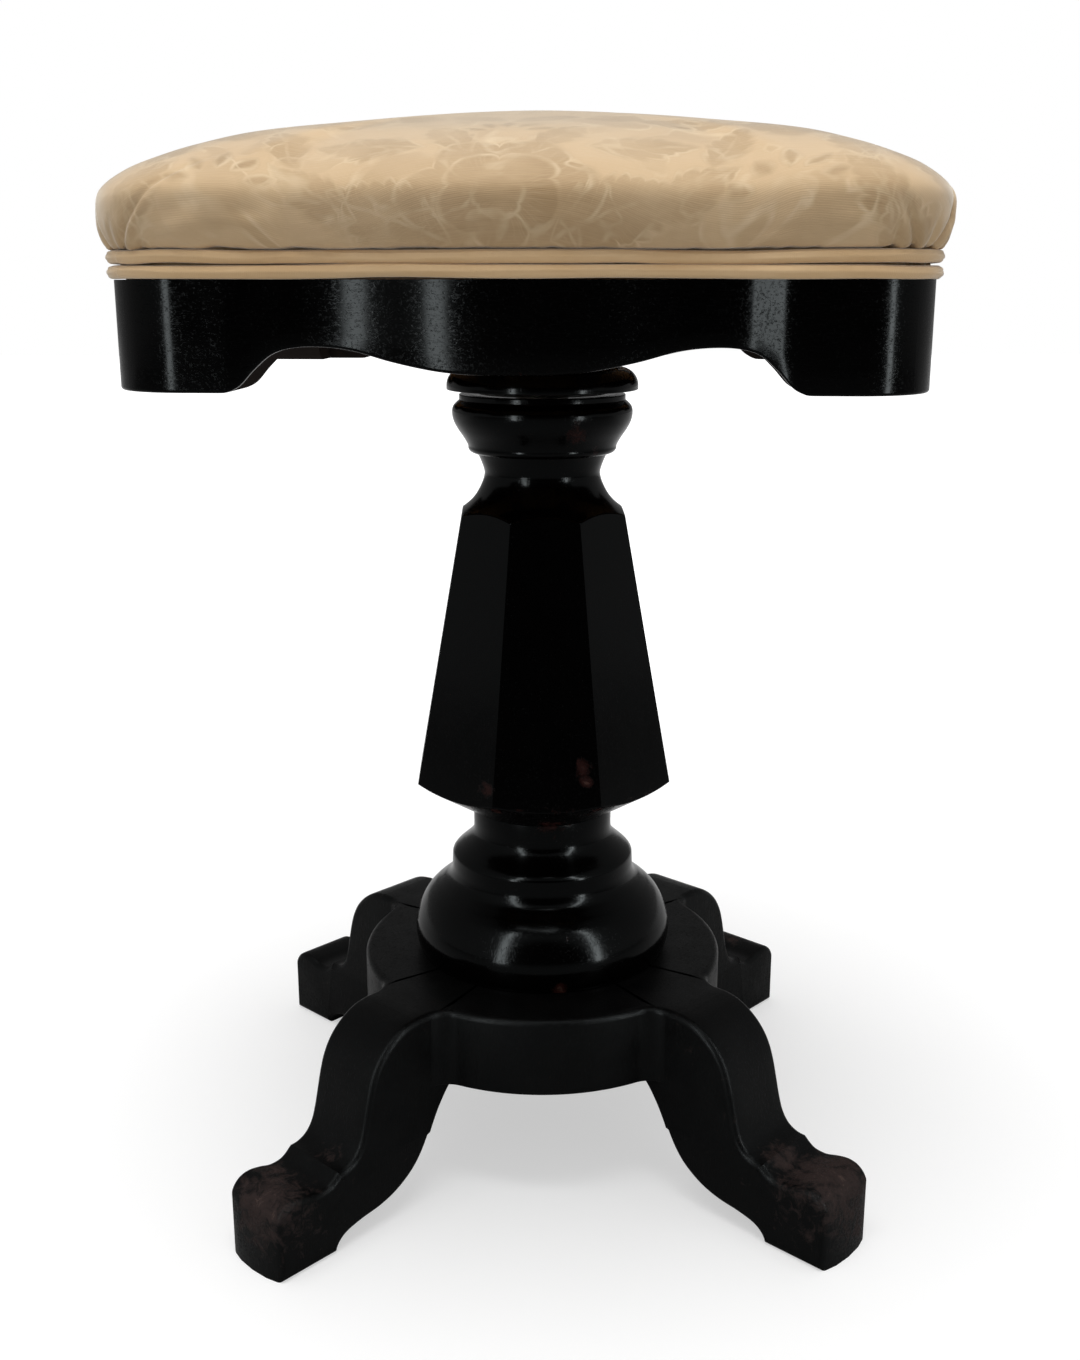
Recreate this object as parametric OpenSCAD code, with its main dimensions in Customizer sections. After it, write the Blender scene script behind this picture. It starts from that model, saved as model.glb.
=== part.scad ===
// Revolving piano stool: a padded serpentine seat on an iron screw, a faceted
// column with turned ends, and a bowed platform on four scroll legs.
// Lengths are millimetres, the floor is z = 0, and the front faces -Y.

/* [Seat frame] */
// Width of the seat frame across its corner lobes
seat_w = 319; // [308:0.5:330]
// Radius of the seat frame's rounded corners
corner_r = 32; // [26:1:38]
// Width of each corner lobe, as far as the deepest part of the hollow beside it
lobe_w = 79.8; // [77:0.1:83]
// How far each bow stands proud of the corner lobes
bow_proud = 6.3; // [4:0.1:8]
// Depth of the hollow between a lobe and a bow
hollow_depth = 7.75; // [6.5:0.05:9]
// Radius of the tight end of that hollow
hollow_end_r = 29; // [24:1:33]
// Radius of the shoulder of each lobe
shoulder_r = 28; // [23:1:32]
// Height of the side rails at the corner lobes
rail_h = 42; // [38:0.5:48]
// Thickness of the side rails at the corner lobes
rail_t = 29.3; // [25:0.1:34]
// Height of the cut-out in the bottom edge of each rail
arch_rise = 17; // [14:0.5:22]
// Turned position of the seat where it stands at its lowest, in degrees
seat_turn = -6; // [-44:1:44]

/* [Seat inside] */
// Thickness of the seat board, covered by the double piping
board_t = 12.4; // [11:0.2:15]
// Thickness of the bearer that carries the iron plate
bearer_t = 22; // [18:1:28]
// Width of the bearer
bearer_w = 112; // [108:1:126]
// Depth that the ends of the bearer are let into the rails
bearer_let_in = 8; // [4:0.5:12]
// Length of the sides of the corner glue blocks
block_side = 36; // [28:1:42]
// Height of the corner glue blocks
block_h = 22; // [16:1:28]

/* [Upholstery] */
// Height of the stuffed seat from the board to the crown
cushion_h = 60.5; // [50:0.5:72]
// How far the cushion swells out past the rails
cushion_proud = 7; // [4:0.5:10]
// Thickness of the silk cover with its calico under-cover
cover_t = 1.5; // [1:0.1:2]
// How far the covered edge of the board is set in behind the piping
piping_rebate = 2.8; // [2:0.1:4]
// Radius of each cord of the double piping
piping_r = 2.95; // [2.4:0.05:3]

/* [Seat plate and boss] */
// Radius of the turned boss under the seat
boss_r = 46; // [40:0.5:50]
// Height of the boss
boss_h = 23.3; // [20:0.1:27]
// Height of the square lip at the foot of the boss
boss_lip_h = 2; // [1:0.5:3]
// Radius of the round over above that lip
boss_round = 8.5; // [5:0.5:10]
// Radius of the round middle of the iron plate
plate_r = 42; // [38:0.5:48]
// Thickness of the iron plate
plate_t = 5; // [4:0.5:6]
// Reach of the plate's arms from the axis
plate_reach = 82; // [76:1:85]
// Width of the plate's arms
plate_arm_w = 22; // [17:0.5:26]

/* [Screw] */
// Radius of the iron screw
screw_r = 12.5; // [10:0.25:13.5]
// Rise of the seat in one turn
screw_lead = 8; // [6:0.5:9]
// Turns from the lowest to the highest seat
screw_turns = 11; // [8:1:12]
// Radial gap between the screw and its nut
screw_gap = 0.05; // [0.02:0.01:0.1]
// Thickness of the stop washer at the foot of the screw
washer_t = 3; // [2:0.25:4]
// Radius of the stop washer
washer_r = 17; // [15.5:0.1:17.4]
// Radius of the shank of the stop bolt
bolt_r = 4; // [3:0.25:5]
// Radius of the head of the stop bolt
bolt_head_r = 8; // [6.5:0.25:9]
// Height of the head of the stop bolt
bolt_head_h = 4; // [3:0.25:5]
// Length of the stop bolt inside the screw
bolt_hold = 18; // [12:1:24]

/* [Nut] */
// Radius of the flange of the iron nut
nut_flange_r = 30; // [28:0.5:33]
// Thickness of the flange of the nut
nut_flange_t = 4; // [3:0.25:5]
// Length of the barrel of the nut below its flange
nut_barrel_h = 32; // [26:1:38]

/* [Column] */
// Radius of the bore down the column
bore_r = 18; // [17.8:0.1:19]
// Largest radius of the turned capital
capital_r = 43.5; // [40:0.25:47]
// Height of the capital
capital_h = 28; // [25:0.5:32]
// Height of the shaft from the base moulding to the capital
shaft_h = 180; // [168:1:200]
// Distance from the axis to the flats at the shaft's shoulder
shaft_top_flat = 39.2; // [37:0.1:42]
// Distance from the axis to the flats at the foot of the shaft
shaft_foot_flat = 62.9; // [57:0.1:68]
// Radius of the shaft's turned neck where it meets the capital
neck_r = 31.5; // [30:0.25:34]
// Height of the turned neck above the flats
neck_h = 28; // [25:0.5:32]
// Height of the cone under the flats
cone_h = 16.7; // [12:0.1:20]
// Radius of the round foot of the shaft and of the neck under it
foot_r = 35.2; // [32:0.1:39]
// Radius of the spigot at the top of the shaft
spigot_r = 23; // [22:0.25:24.5]
// Height of the spigot
spigot_h = 10; // [7:0.5:12]
// Radius of the tenon at the foot of the shaft
tenon_r = 17; // [14:0.5:20]
// Largest radius of the turned base moulding
torus_r = 66; // [60:0.5:70]
// Height of the base moulding
base_h = 75.9; // [68:0.1:84]

/* [Platform and legs] */
// Height of the platform's top above the floor
platform_top = 98.5; // [92:0.5:106]
// Thickness of the platform
platform_t = 39; // [34:0.5:44]
// Distance from the axis to the crest of each bowed side
platform_bow = 92.5; // [88:0.5:97]
// Radius of each bowed side
platform_bow_r = 95; // [90:1:108]
// Radius of the hollow corners between a bow and a leg
platform_fillet_r = 12; // [8:0.5:14]
// Distance from the axis to the root of the legs, housed in the corners
leg_root = 84; // [80:0.5:88]
// Distance from the axis to the end of the feet
leg_end = 193; // [185:0.5:200]
// Width of the legs at the platform
leg_w = 39; // [36:0.5:41]
// Width of the feet
foot_w = 37.5; // [34:0.5:39]
// How far the end of a foot is rounded back at its sides
foot_round = 5; // [3:0.5:8]
// Radius of the dowels between the platform and the legs
dowel_r = 5; // [4:0.25:6]
// Length of these dowels
dowel_len = 48; // [36:1:56]
// Distance between the two dowels of a leg
dowel_spacing = 18; // [14:0.5:20]
// Width of the wedge in the tenon at its thick end
wedge_w = 4; // [3:0.25:5]
// Length of the wedge
wedge_h = 30; // [24:1:36]

/* [Wood screws] */
// Radius of the shank of the wood screws
wscrew_r = 2; // [1.5:0.1:2.4]
// Radius of their countersunk heads
wscrew_head_r = 4; // [3.2:0.1:4.4]
// Height of their countersunk heads
wscrew_head_h = 2.4; // [1.8:0.1:2.8]
// Length of the screws in the nut's flange
nut_screw_len = 13; // [10:0.5:14]
// Length of the screws in the plate's arms
plate_screw_len = 20; // [14:0.5:24]
// Length of the screws that hold the boss
boss_screw_len = 44; // [38:0.5:48]
// Length of the screws in the seat board
board_screw_len = 30; // [24:0.5:36]

/* [Clearances] */
// Gap around dowels, tenons and screws in their holes
fit = 0.05; // [0.02:0.01:0.1]
// Gap between pieces that rest on each other or slide past
seat_gap = 0.3; // [0.2:0.05:0.4]
// Gap between the column and the boss with the seat at its lowest
rest_gap = 2; // [1:0.25:4]
// Room below the stop bolt at the bottom of the bore
tail_room = 6; // [3:0.5:12]

/* [Hidden] */
$fn = 72;
overrun = 1;

ebony_colour = "#17130F";
iron_colour = "#3A3A3C";
pine_colour = "#B98F5A";
damask_colour = "#D5C196";
hair_colour = "#6B5A48";

// Levels, from the floor up
platform_z = platform_top - platform_t;
shaft_z = platform_top + base_h;
capital_z = shaft_z + shaft_h;
column_z = capital_z + capital_h;
boss_z = column_z + rest_gap;
plate_z = boss_z + boss_h;
bearer_z = plate_z + plate_t;
board_z = bearer_z + bearer_t;
rail_z = board_z - rail_h;
cushion_z = board_z + board_t;

// The screw and its stop
travel = screw_lead * screw_turns;
nut_foot_z = column_z - nut_flange_t - nut_barrel_h;
screw_end_z = nut_foot_z - travel;
washer_z = screw_end_z - seat_gap - washer_t;
bolt_head_z = washer_z - seat_gap - bolt_head_h;
bore_floor_z = bolt_head_z - tail_room;

// Turns of the seat outline, in degrees
flank_turn = 22;
corner_turn = 45;
quarter = 90;

// Segments of the bow, hollow, hollow's end, shoulder and half corner
fine_steps = [5, 5, 4, 4, 6];
soft_steps = [2, 2, 1, 1, 2];

// Points of the bottom edge of a rail, from its middle to a lobe:
// share of half the seat's width, share of arch_rise
apron_edge_shares = [[0, 0.435], [0.09, 0.44], [0.18, 0.505], [0.29, 0.69], [0.385, 0.915],
                     [0.46, 1], [0.53, 0.985], [0.58, 0.85], [0.62, 0.53],
                     [0.655, 0.17], [0.684, 0.025], [0.702, 0]];

// Rings of the stuffed seat above the board, from the piping to near the
// crown: share of cushion_proud, share of the outline, share of the height,
// share by which the outline is rounded
cushion_ring_shares = [[0, 1, 0, 0], [0.7, 1, 0.07, 0.015], [1, 1, 0.27, 0.04],
                       [0, 0.965, 0.52, 0.11], [0, 0.79, 0.76, 0.3], [0, 0.43, 0.935, 0.6]];

// Turned capital, from its foot up: share of capital_r, share of capital_h
capital_shares = [[0.757, 0], [0.8, 0.03], [0.823, 0.08], [0.828, 0.14], [0.87, 0.26],
                  [0.94, 0.42], [0.985, 0.56], [1, 0.7], [0.985, 0.8], [0.945, 0.87]];
capital_collar_share = 0.92;
capital_lip_share = 0.9;

// Turned neck of the shaft, from the capital down: share of neck_r, share of
// neck_h below the capital
neck_shares = [[1, 0], [0.95, 0.12], [0.9, 0.28], [0.895, 0.38], [0.94, 0.54],
               [1.04, 0.74], [1.18, 0.9], [1.4, 1.07]];
shoulder_share = 1.3;

// Turned base moulding in two curves, from the platform up: share of torus_r,
// share of base_h. The first is the torus with the cove and the collar above
// it, the second the shoulder and the neck.
torus_shares = [[0.974, 0.03], [0.99, 0.066], [1, 0.125], [0.998, 0.18], [0.983, 0.24],
                [0.951, 0.312], [0.905, 0.378], [0.852, 0.425], [0.812, 0.452],
                [0.78, 0.474], [0.745, 0.499], [0.721, 0.528], [0.708, 0.567],
                [0.7045, 0.613], [0.7015, 0.669]];
base_neck_shares = [[0.697, 0.68], [0.678, 0.7], [0.639, 0.73], [0.585, 0.773],
                    [0.5455, 0.817], [0.534, 0.856], [0.5335, 0.916]];
plinth_share = 0.968;
plinth_h_share = 0.02;

// Upper edge of a leg from the joint to the ankle, then from the carved step
// to the end of the foot: share of the leg's reach, share of platform_top
leg_back_shares = [[0.204, 1], [0.269, 0.987], [0.324, 0.96], [0.38, 0.916],
                   [0.424, 0.863], [0.458, 0.797], [0.481, 0.721], [0.5, 0.635],
                   [0.519, 0.548], [0.54, 0.48], [0.572, 0.432], [0.615, 0.408],
                   [0.657, 0.404]];
foot_back_shares = [[0.68, 0.382], [0.713, 0.361], [0.769, 0.358], [0.824, 0.375],
                    [0.88, 0.386], [0.926, 0.376], [0.961, 0.345], [0.981, 0.299],
                    [0.987, 0.244], [0.993, 0.152], [0.998, 0.061]];
// Underside of a leg from the foot back to the joint: share of the leg's
// reach, share of the height of the platform's underside
leg_under_shares = [[0.685, 0.02], [0.666, 0.077], [0.625, 0.128], [0.542, 0.165],
                    [0.449, 0.188], [0.369, 0.229], [0.302, 0.291], [0.244, 0.37],
                    [0.2, 0.462], [0.162, 0.575], [0.133, 0.684], [0.1, 0.793],
                    [0.062, 0.894], [0.026, 0.97], [0, 1]];
heel_share = 0.69;

// A point at share t from b to c, on the smooth curve through a, b, c and d
function curve_pt(a, b, c, d, t) =
    (2 * b + (c - a) * t + (2 * a - 5 * b + 4 * c - d) * t * t
     + (3 * b - a - 3 * c + d) * t * t * t) / 2;

// A smooth run through a list of points, with n steps between two of them
function smooth(pts, n) = concat(
    [for (i = [0 : len(pts) - 2]) for (k = [0 : n - 1])
        curve_pt(pts[max(i - 1, 0)], pts[i], pts[i + 1],
                 pts[min(i + 2, len(pts) - 1)], k / n)],
    [pts[len(pts) - 1]]);

// Shares in two directions turned into lengths
function sized(shares, w, h) = [for (s = shares) [s[0] * w, s[1] * h]];
function lifted(pts, dx, dy) = [for (p = pts) [p[0] + dx, p[1] + dy]];
function reversed(v) = [for (i = [len(v) - 1 : -1 : 0]) v[i]];
function mirrored(v) = [for (p = v) [-p[0], p[1]]];
function tail(v) = [for (i = [1 : len(v) - 1]) v[i]];
function turned(v, a) = [for (p = v) [p[0] * cos(a) - p[1] * sin(a),
                                      p[0] * sin(a) + p[1] * cos(a)]];
function with_z(v, z) = [for (p = v) [p[0], p[1], z]];

// Outward direction of the front side where it has turned by a
function outward(a) = [sin(a), -cos(a)];
// Arc of the front side from turn a to turn b; a hollow has a negative radius
function side_arc(c, r, a, b, n) =
    [for (k = [0 : n]) c + r * outward(a + (b - a) * k / n)];

// The bow and the long hollow beside it, from the crest to the deepest point
half_w = seat_w / 2;
bow_share = 0.545;
wave_run = half_w - lobe_w;
wave_drop = bow_proud + hollow_depth;
wave_r = (wave_run * wave_run + wave_drop * wave_drop) / (2 * wave_drop);
bow_turn = asin(wave_run / wave_r);
bow_r = bow_share * wave_r;
hollow_r = wave_r - bow_r;

// Centres of the arcs of the seat outline
bow_c = [0, bow_r - half_w - bow_proud];
hollow_c = bow_c + (bow_r + hollow_r) * outward(bow_turn);
hollow_end_c = hollow_c - (hollow_r - hollow_end_r) * outward(0);
flank_start = hollow_end_c - hollow_end_r * outward(-flank_turn);
flank_len = (flank_start[1] + half_w - shoulder_r * (1 - cos(flank_turn))) / sin(flank_turn);
shoulder_c = [flank_start[0] + flank_len * cos(flank_turn) + shoulder_r * sin(flank_turn),
              shoulder_r - half_w];
corner_c = [half_w - corner_r, corner_r - half_w];

// Right half of the front side, moved outward by grow
function half_side(grow, s) = concat(
    side_arc(bow_c, bow_r + grow, 0, bow_turn, s[0]),
    tail(side_arc(hollow_c, grow - hollow_r, bow_turn, 0, s[1])),
    tail(side_arc(hollow_end_c, grow - hollow_end_r, 0, -flank_turn, s[2])),
    side_arc(shoulder_c, shoulder_r + grow, -flank_turn, 0, s[3]),
    side_arc(corner_c, corner_r + grow, 0, corner_turn, s[4]));
// Front side from the left corner to the right one
function whole_side(grow, s) =
    concat(reversed(tail(mirrored(half_side(grow, s)))), half_side(grow, s));
// All four sides as one closed outline
function seat_outline(grow, s) =
    [for (q = [0 : 3]) each tail(turned(whole_side(grow, s), q * quarter))];

// A ring of the cushion: the outline grown, drawn in and rounded
function cushion_ring(grow, keep, soften) =
    let (pts = seat_outline(grow, soft_steps), mean_r = half_w + bow_proud)
    [for (p = pts) p * keep * (1 - soften + soften * mean_r / norm(p))];
// All rings of a cushion surface that lies the given depth inside the cover
function cushion_rings(depth) =
    [for (s = cushion_ring_shares)
        with_z(cushion_ring(s[0] * (cushion_proud + piping_rebate) - piping_rebate - depth,
                            s[1], s[3]),
               cushion_z + s[2] * (cushion_h - depth))];
function skirt_ring(depth) =
    with_z(cushion_ring(-piping_rebate - depth, 1, 0), board_z + seat_gap);

// Faces between ring a and ring b above it, with m points each
function band(a, b, m) = [for (i = [0 : m - 1]) let (j = (i + 1) % m) each
    [[a * m + i, b * m + i, b * m + j], [a * m + i, b * m + j, a * m + j]]];
function flipped(faces) = [for (f = faces) reversed(f)];
function fan(a, m, top) = [for (i = [0 : m - 1]) [a * m + (i + 1) % m, a * m + i, top]];

// A countersunk wood screw with its head's face at z = 0, pointing down
module wood_screw(len, grow = 0) {
    tip = wscrew_r;
    rotate_extrude($fn = 32)
        polygon([[0, grow], [wscrew_head_r + grow, grow], [wscrew_head_r + grow, 0],
                 [wscrew_r + grow, -wscrew_head_h], [wscrew_r + grow, tip - len],
                 [0, -len - grow]]);
}

// Places of the wood screws
nut_screw_ring = (bore_r + nut_flange_r) / 2;
boss_screw_ring = (screw_r + boss_r) / 2;
plate_screw_ring = plate_reach - plate_arm_w / 2;
board_screw_x = shoulder_c[0];
board_screw_y = half_w - rail_t / 2;

module round_nut_screws(grow = 0) {
    for (a = [0 : quarter : 3 * quarter])
        rotate(a + corner_turn) translate([nut_screw_ring, 0, column_z])
            wood_screw(nut_screw_len, grow);
}

module all_boss_screws(grow = 0) {
    for (a = [0 : quarter : 3 * quarter])
        rotate(a) translate([boss_screw_ring, 0, boss_z]) mirror([0, 0, 1])
            wood_screw(boss_screw_len, grow);
}

module all_plate_screws(grow = 0) {
    for (a = [0 : quarter : 3 * quarter])
        rotate(a + corner_turn) translate([plate_screw_ring, 0, plate_z]) mirror([0, 0, 1])
            wood_screw(plate_screw_len, grow);
}

module all_board_screws(grow = 0) {
    for (a = [0 : quarter : 3 * quarter]) for (side = [-1, 1])
        rotate(a) translate([side * board_screw_x, -board_screw_y, cushion_z])
            wood_screw(board_screw_len, grow);
}

// Plan of the platform's front side, from its crest to the right leg's housing
fillet_sum = -sqrt(2) * (leg_w / 2 + platform_fillet_r);
bow_centre_y = platform_bow_r - platform_bow;
fillet_gap = fillet_sum - bow_centre_y;
fillet_reach = platform_bow_r + platform_fillet_r;
fillet_x = (fillet_gap + sqrt(2 * fillet_reach * fillet_reach - fillet_gap * fillet_gap)) / 2;
fillet_c = [fillet_x, fillet_sum - fillet_x];
fillet_turn = atan2(fillet_x, bow_centre_y - fillet_c[1]);
platform_half = concat(
    side_arc([0, bow_centre_y], platform_bow_r, 0, fillet_turn, 5),
    tail(side_arc(fillet_c, -platform_fillet_r, fillet_turn, -corner_turn, 6)),
    [[leg_root - leg_w / 2, -leg_root - leg_w / 2] / sqrt(2)]);
corner_reach = (fillet_c[0] - fillet_c[1]) / sqrt(2);
platform_side = concat(reversed(tail(mirrored(platform_half))), platform_half);
platform_plan = [for (q = [0 : 3]) each turned(platform_side, q * quarter)];

module dowels(grow = 0) {
    for (a = [0 : quarter : 3 * quarter]) for (side = [-1, 1])
        rotate(a + corner_turn)
            translate([leg_root - dowel_len / 2 - grow, side * dowel_spacing / 2,
                       platform_top - platform_t / 2])
                rotate([0, quarter, 0]) cylinder(r = dowel_r + grow, h = dowel_len + 2 * grow);
}

module platform() {
    color(ebony_colour)
        difference() {
            translate([0, 0, platform_z]) linear_extrude(platform_t) polygon(platform_plan);
            translate([0, 0, platform_z - overrun])
                cylinder(r = tenon_r + fit, h = platform_t + 2 * overrun);
            dowels(fit);
        }
}

// One leg, drawn along +X with its joint at leg_root
leg_reach = leg_end - leg_root;
leg_profile = concat(
    [[leg_root, platform_top]],
    lifted(smooth(sized(leg_back_shares, leg_reach, platform_top), 3), leg_root, 0),
    lifted(smooth(sized(foot_back_shares, leg_reach, platform_top), 3), leg_root, 0),
    [[leg_end, 0], [leg_root + heel_share * leg_reach, 0]],
    lifted(smooth(sized(leg_under_shares, leg_reach, platform_z), 2), leg_root, 0));

// Plan of a leg: housed at the full width, then tapered to its rounded end
leg_plan_half = concat(
    [[leg_root, leg_w / 2], [corner_reach, leg_w / 2]],
    [for (a = [quarter : -quarter / 8 : 0])
        [leg_end - foot_round * (1 - cos(a)), foot_w / 2 * sin(a)]]);
leg_plan = concat(leg_plan_half, tail([for (p = reversed(leg_plan_half)) [p[0], -p[1]]]));

module leg() {
    color(ebony_colour)
        difference() {
            intersection() {
                translate([0, leg_w / 2, 0]) rotate([quarter, 0, 0])
                    linear_extrude(leg_w) polygon(leg_profile);
                linear_extrude(platform_top) polygon(leg_plan);
            }
            rotate(-corner_turn) dowels(fit);
        }
}

module leg_front_left() { rotate(-3 * corner_turn) leg(); }
module leg_front_right() { rotate(-corner_turn) leg(); }
module leg_rear_left() { rotate(3 * corner_turn) leg(); }
module leg_rear_right() { rotate(corner_turn) leg(); }

module leg_dowels() {
    color(pine_colour) dowels();
}

// Turned moulding between the platform and the shaft
module column_base() {
    plinth_r = plinth_share * torus_r;
    color(ebony_colour)
        translate([0, 0, platform_top]) rotate_extrude()
            polygon(concat(
                [[tenon_r + fit, 0], [plinth_r, 0], [plinth_r, plinth_h_share * base_h]],
                smooth(sized(torus_shares, torus_r, base_h), 3),
                smooth(sized(base_neck_shares, torus_r, base_h), 3),
                [[foot_r, base_h], [tenon_r + fit, base_h]]));
}

// The slot and the wedge at the foot of the tenon
wedge_tip_w = wedge_w / 4;
module wedge_shape(grow = 0, reach = tenon_r) {
    translate([0, reach, platform_z]) rotate([quarter, 0, 0])
        linear_extrude(2 * reach)
            polygon([[-wedge_w / 2 - grow, -grow], [wedge_w / 2 + grow, -grow],
                     [wedge_tip_w / 2 + grow, wedge_h + grow],
                     [-wedge_tip_w / 2 - grow, wedge_h + grow]]);
}

// Faceted shaft: eight flats cut on a turned blank, with a bore for the screw
module column_shaft() {
    flat_slope = (shaft_foot_flat - shaft_top_flat) / (shaft_h - neck_h - cone_h);
    cone_slope = cone_h / (shaft_foot_flat - foot_r);
    spread = 1 / cos(quarter / 4);
    blank_r = shaft_foot_flat * spread + overrun;
    color(ebony_colour)
        difference() {
            union() {
                intersection() {
                    translate([0, 0, shaft_z]) rotate(quarter / 4)
                        cylinder(r1 = (shaft_foot_flat + flat_slope * cone_h) * spread,
                                 r2 = (shaft_top_flat - flat_slope * neck_h) * spread,
                                 h = shaft_h, $fn = 8);
                    translate([0, 0, shaft_z]) rotate_extrude()
                        polygon(concat(
                            [[0, shaft_h]],
                            [for (p = smooth(sized(neck_shares, neck_r, neck_h), 3))
                                [p[0], shaft_h - p[1]]],
                            [[blank_r, shaft_h - neck_h * shoulder_share],
                             [blank_r, (blank_r - foot_r) * cone_slope],
                             [foot_r, 0], [0, 0]]));
                }
                translate([0, 0, capital_z - overrun])
                    cylinder(r = spigot_r, h = spigot_h + overrun);
                translate([0, 0, platform_z])
                    cylinder(r = tenon_r, h = shaft_z - platform_z + overrun);
            }
            translate([0, 0, bore_floor_z])
                cylinder(r = bore_r, h = column_z - bore_floor_z);
            wedge_shape(fit, tenon_r + overrun);
        }
}

module tenon_wedge() {
    color(pine_colour)
        intersection() {
            wedge_shape();
            translate([0, 0, platform_z]) cylinder(r = tenon_r, h = wedge_h);
        }
}

module column_capital() {
    collar_r = capital_collar_share * capital_r;
    color(ebony_colour)
        difference() {
            translate([0, 0, capital_z]) rotate_extrude()
                polygon(concat(
                    [[bore_r, 0]],
                    smooth(sized(capital_shares, capital_r, capital_h), 3),
                    [[collar_r, capital_lip_share * capital_h], [collar_r, capital_h], [bore_r, capital_h]]));
            translate([0, 0, capital_z - overrun])
                cylinder(r = spigot_r + fit, h = spigot_h + seat_gap + overrun);
            translate([0, 0, column_z - nut_flange_t])
                cylinder(r = nut_flange_r + fit, h = nut_flange_t + overrun);
            round_nut_screws(fit);
        }
}

// Iron nut let into the top of the column
module screw_nut() {
    color(iron_colour)
        difference() {
            union() {
                translate([0, 0, column_z - nut_flange_t])
                    cylinder(r = nut_flange_r, h = nut_flange_t);
                translate([0, 0, nut_foot_z])
                    cylinder(r = bore_r - fit, h = nut_barrel_h + overrun);
            }
            translate([0, 0, nut_foot_z - overrun])
                cylinder(r = screw_r + screw_gap, h = nut_barrel_h + nut_flange_t + 2 * overrun);
            round_nut_screws(fit);
        }
}

module nut_screws() {
    color(iron_colour) round_nut_screws();
}

// Iron screw, riveted into the seat plate and drilled for the stop bolt
module screw_spindle() {
    color(iron_colour)
        difference() {
            translate([0, 0, screw_end_z]) cylinder(r = screw_r, h = bearer_z - screw_end_z);
            translate([0, 0, screw_end_z - overrun])
                cylinder(r = bolt_r + fit, h = bolt_hold + fit + overrun);
        }
}

// Washer that slides in the bore and meets the nut with the seat at its highest
module stop_washer() {
    color(iron_colour)
        translate([0, 0, washer_z])
            difference() {
                cylinder(r = washer_r, h = washer_t);
                translate([0, 0, -overrun])
                    cylinder(r = bolt_r + screw_gap, h = washer_t + 2 * overrun);
            }
}

module stop_bolt() {
    color(iron_colour)
        rotate(seat_turn) {
            translate([0, 0, bolt_head_z]) cylinder(r = bolt_head_r, h = bolt_head_h, $fn = 6);
            translate([0, 0, bolt_head_z])
                cylinder(r = bolt_r, h = screw_end_z + bolt_hold - bolt_head_z);
        }
}

// Turned boss that hides the plate, with its upper edge rounded over
module seat_boss() {
    arc_c = [boss_r - boss_round, boss_lip_h];
    color(ebony_colour)
        rotate(seat_turn)
            difference() {
                translate([0, 0, boss_z]) rotate_extrude()
                    polygon(concat(
                        [[screw_r + seat_gap, 0], [boss_r, 0]],
                        [for (a = [0 : quarter / 6 : quarter]) arc_c + boss_round * [cos(a), sin(a)]],
                        [[boss_r - boss_round, boss_h], [screw_r + seat_gap, boss_h]]));
                all_boss_screws(fit);
            }
}

// Iron plate with a round middle and four arms
module seat_plate() {
    color(iron_colour)
        rotate(seat_turn)
            difference() {
                union() {
                    translate([0, 0, plate_z]) cylinder(r = plate_r, h = plate_t);
                    for (a = [0 : quarter : 3 * quarter])
                        rotate(a + corner_turn) translate([0, 0, plate_z]) {
                            translate([0, -plate_arm_w / 2, 0])
                                cube([plate_reach - plate_arm_w / 2, plate_arm_w, plate_t]);
                            translate([plate_reach - plate_arm_w / 2, 0, 0])
                                cylinder(r = plate_arm_w / 2, h = plate_t);
                        }
                }
                translate([0, 0, plate_z - overrun])
                    cylinder(r = screw_r + fit, h = plate_t + 2 * overrun);
                all_boss_screws(fit);
                all_plate_screws(fit);
            }
}

module boss_screws() {
    color(iron_colour) rotate(seat_turn) all_boss_screws();
}

module plate_screws() {
    color(iron_colour) rotate(seat_turn) all_plate_screws();
}

// Bearer across the frame, with its ends let into the front and rear rails
rail_inner = half_w - rail_t;
module bearer_block(grow = 0) {
    reach = rail_inner + bearer_let_in;
    translate([-bearer_w / 2 - grow, -reach - grow, bearer_z - grow])
        cube([bearer_w + 2 * grow, 2 * (reach + grow), bearer_t + grow]);
}

module seat_bearer() {
    color(pine_colour)
        rotate(seat_turn)
            difference() {
                bearer_block();
                all_boss_screws(fit);
                all_plate_screws(fit);
            }
}

// One rail of the seat frame, mitred at both ends, with its shaped lower edge
module rail() {
    edge = smooth(sized(apron_edge_shares, half_w, arch_rise), 3);
    difference() {
        translate([0, 0, rail_z]) linear_extrude(rail_h)
            polygon(concat(whole_side(0, fine_steps),
                           [[rail_inner, -rail_inner], [-rail_inner, -rail_inner]]));
        translate([0, -rail_inner + overrun, rail_z]) rotate([quarter, 0, 0])
            linear_extrude(rail_t + bow_proud + 2 * overrun)
                polygon(concat(mirrored(edge), [[-edge[len(edge) - 1][0], -overrun]],
                               [[edge[len(edge) - 1][0], -overrun]], reversed(edge)));
        all_board_screws(fit);
    }
}

module let_in_rail() {
    difference() {
        rail();
        bearer_block(fit);
    }
}

module apron_front() { color(ebony_colour) rotate(seat_turn) let_in_rail(); }
module apron_right() { color(ebony_colour) rotate(seat_turn + quarter) rail(); }
module apron_rear() { color(ebony_colour) rotate(seat_turn + 2 * quarter) let_in_rail(); }
module apron_left() { color(ebony_colour) rotate(seat_turn - quarter) rail(); }

module corner_blocks() {
    color(pine_colour)
        rotate(seat_turn)
            for (a = [0 : quarter : 3 * quarter])
                rotate(a) translate([rail_inner, rail_inner, board_z - block_h])
                    linear_extrude(block_h)
                        polygon([[0, 0], [-block_side, 0], [0, -block_side]]);
}

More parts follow.
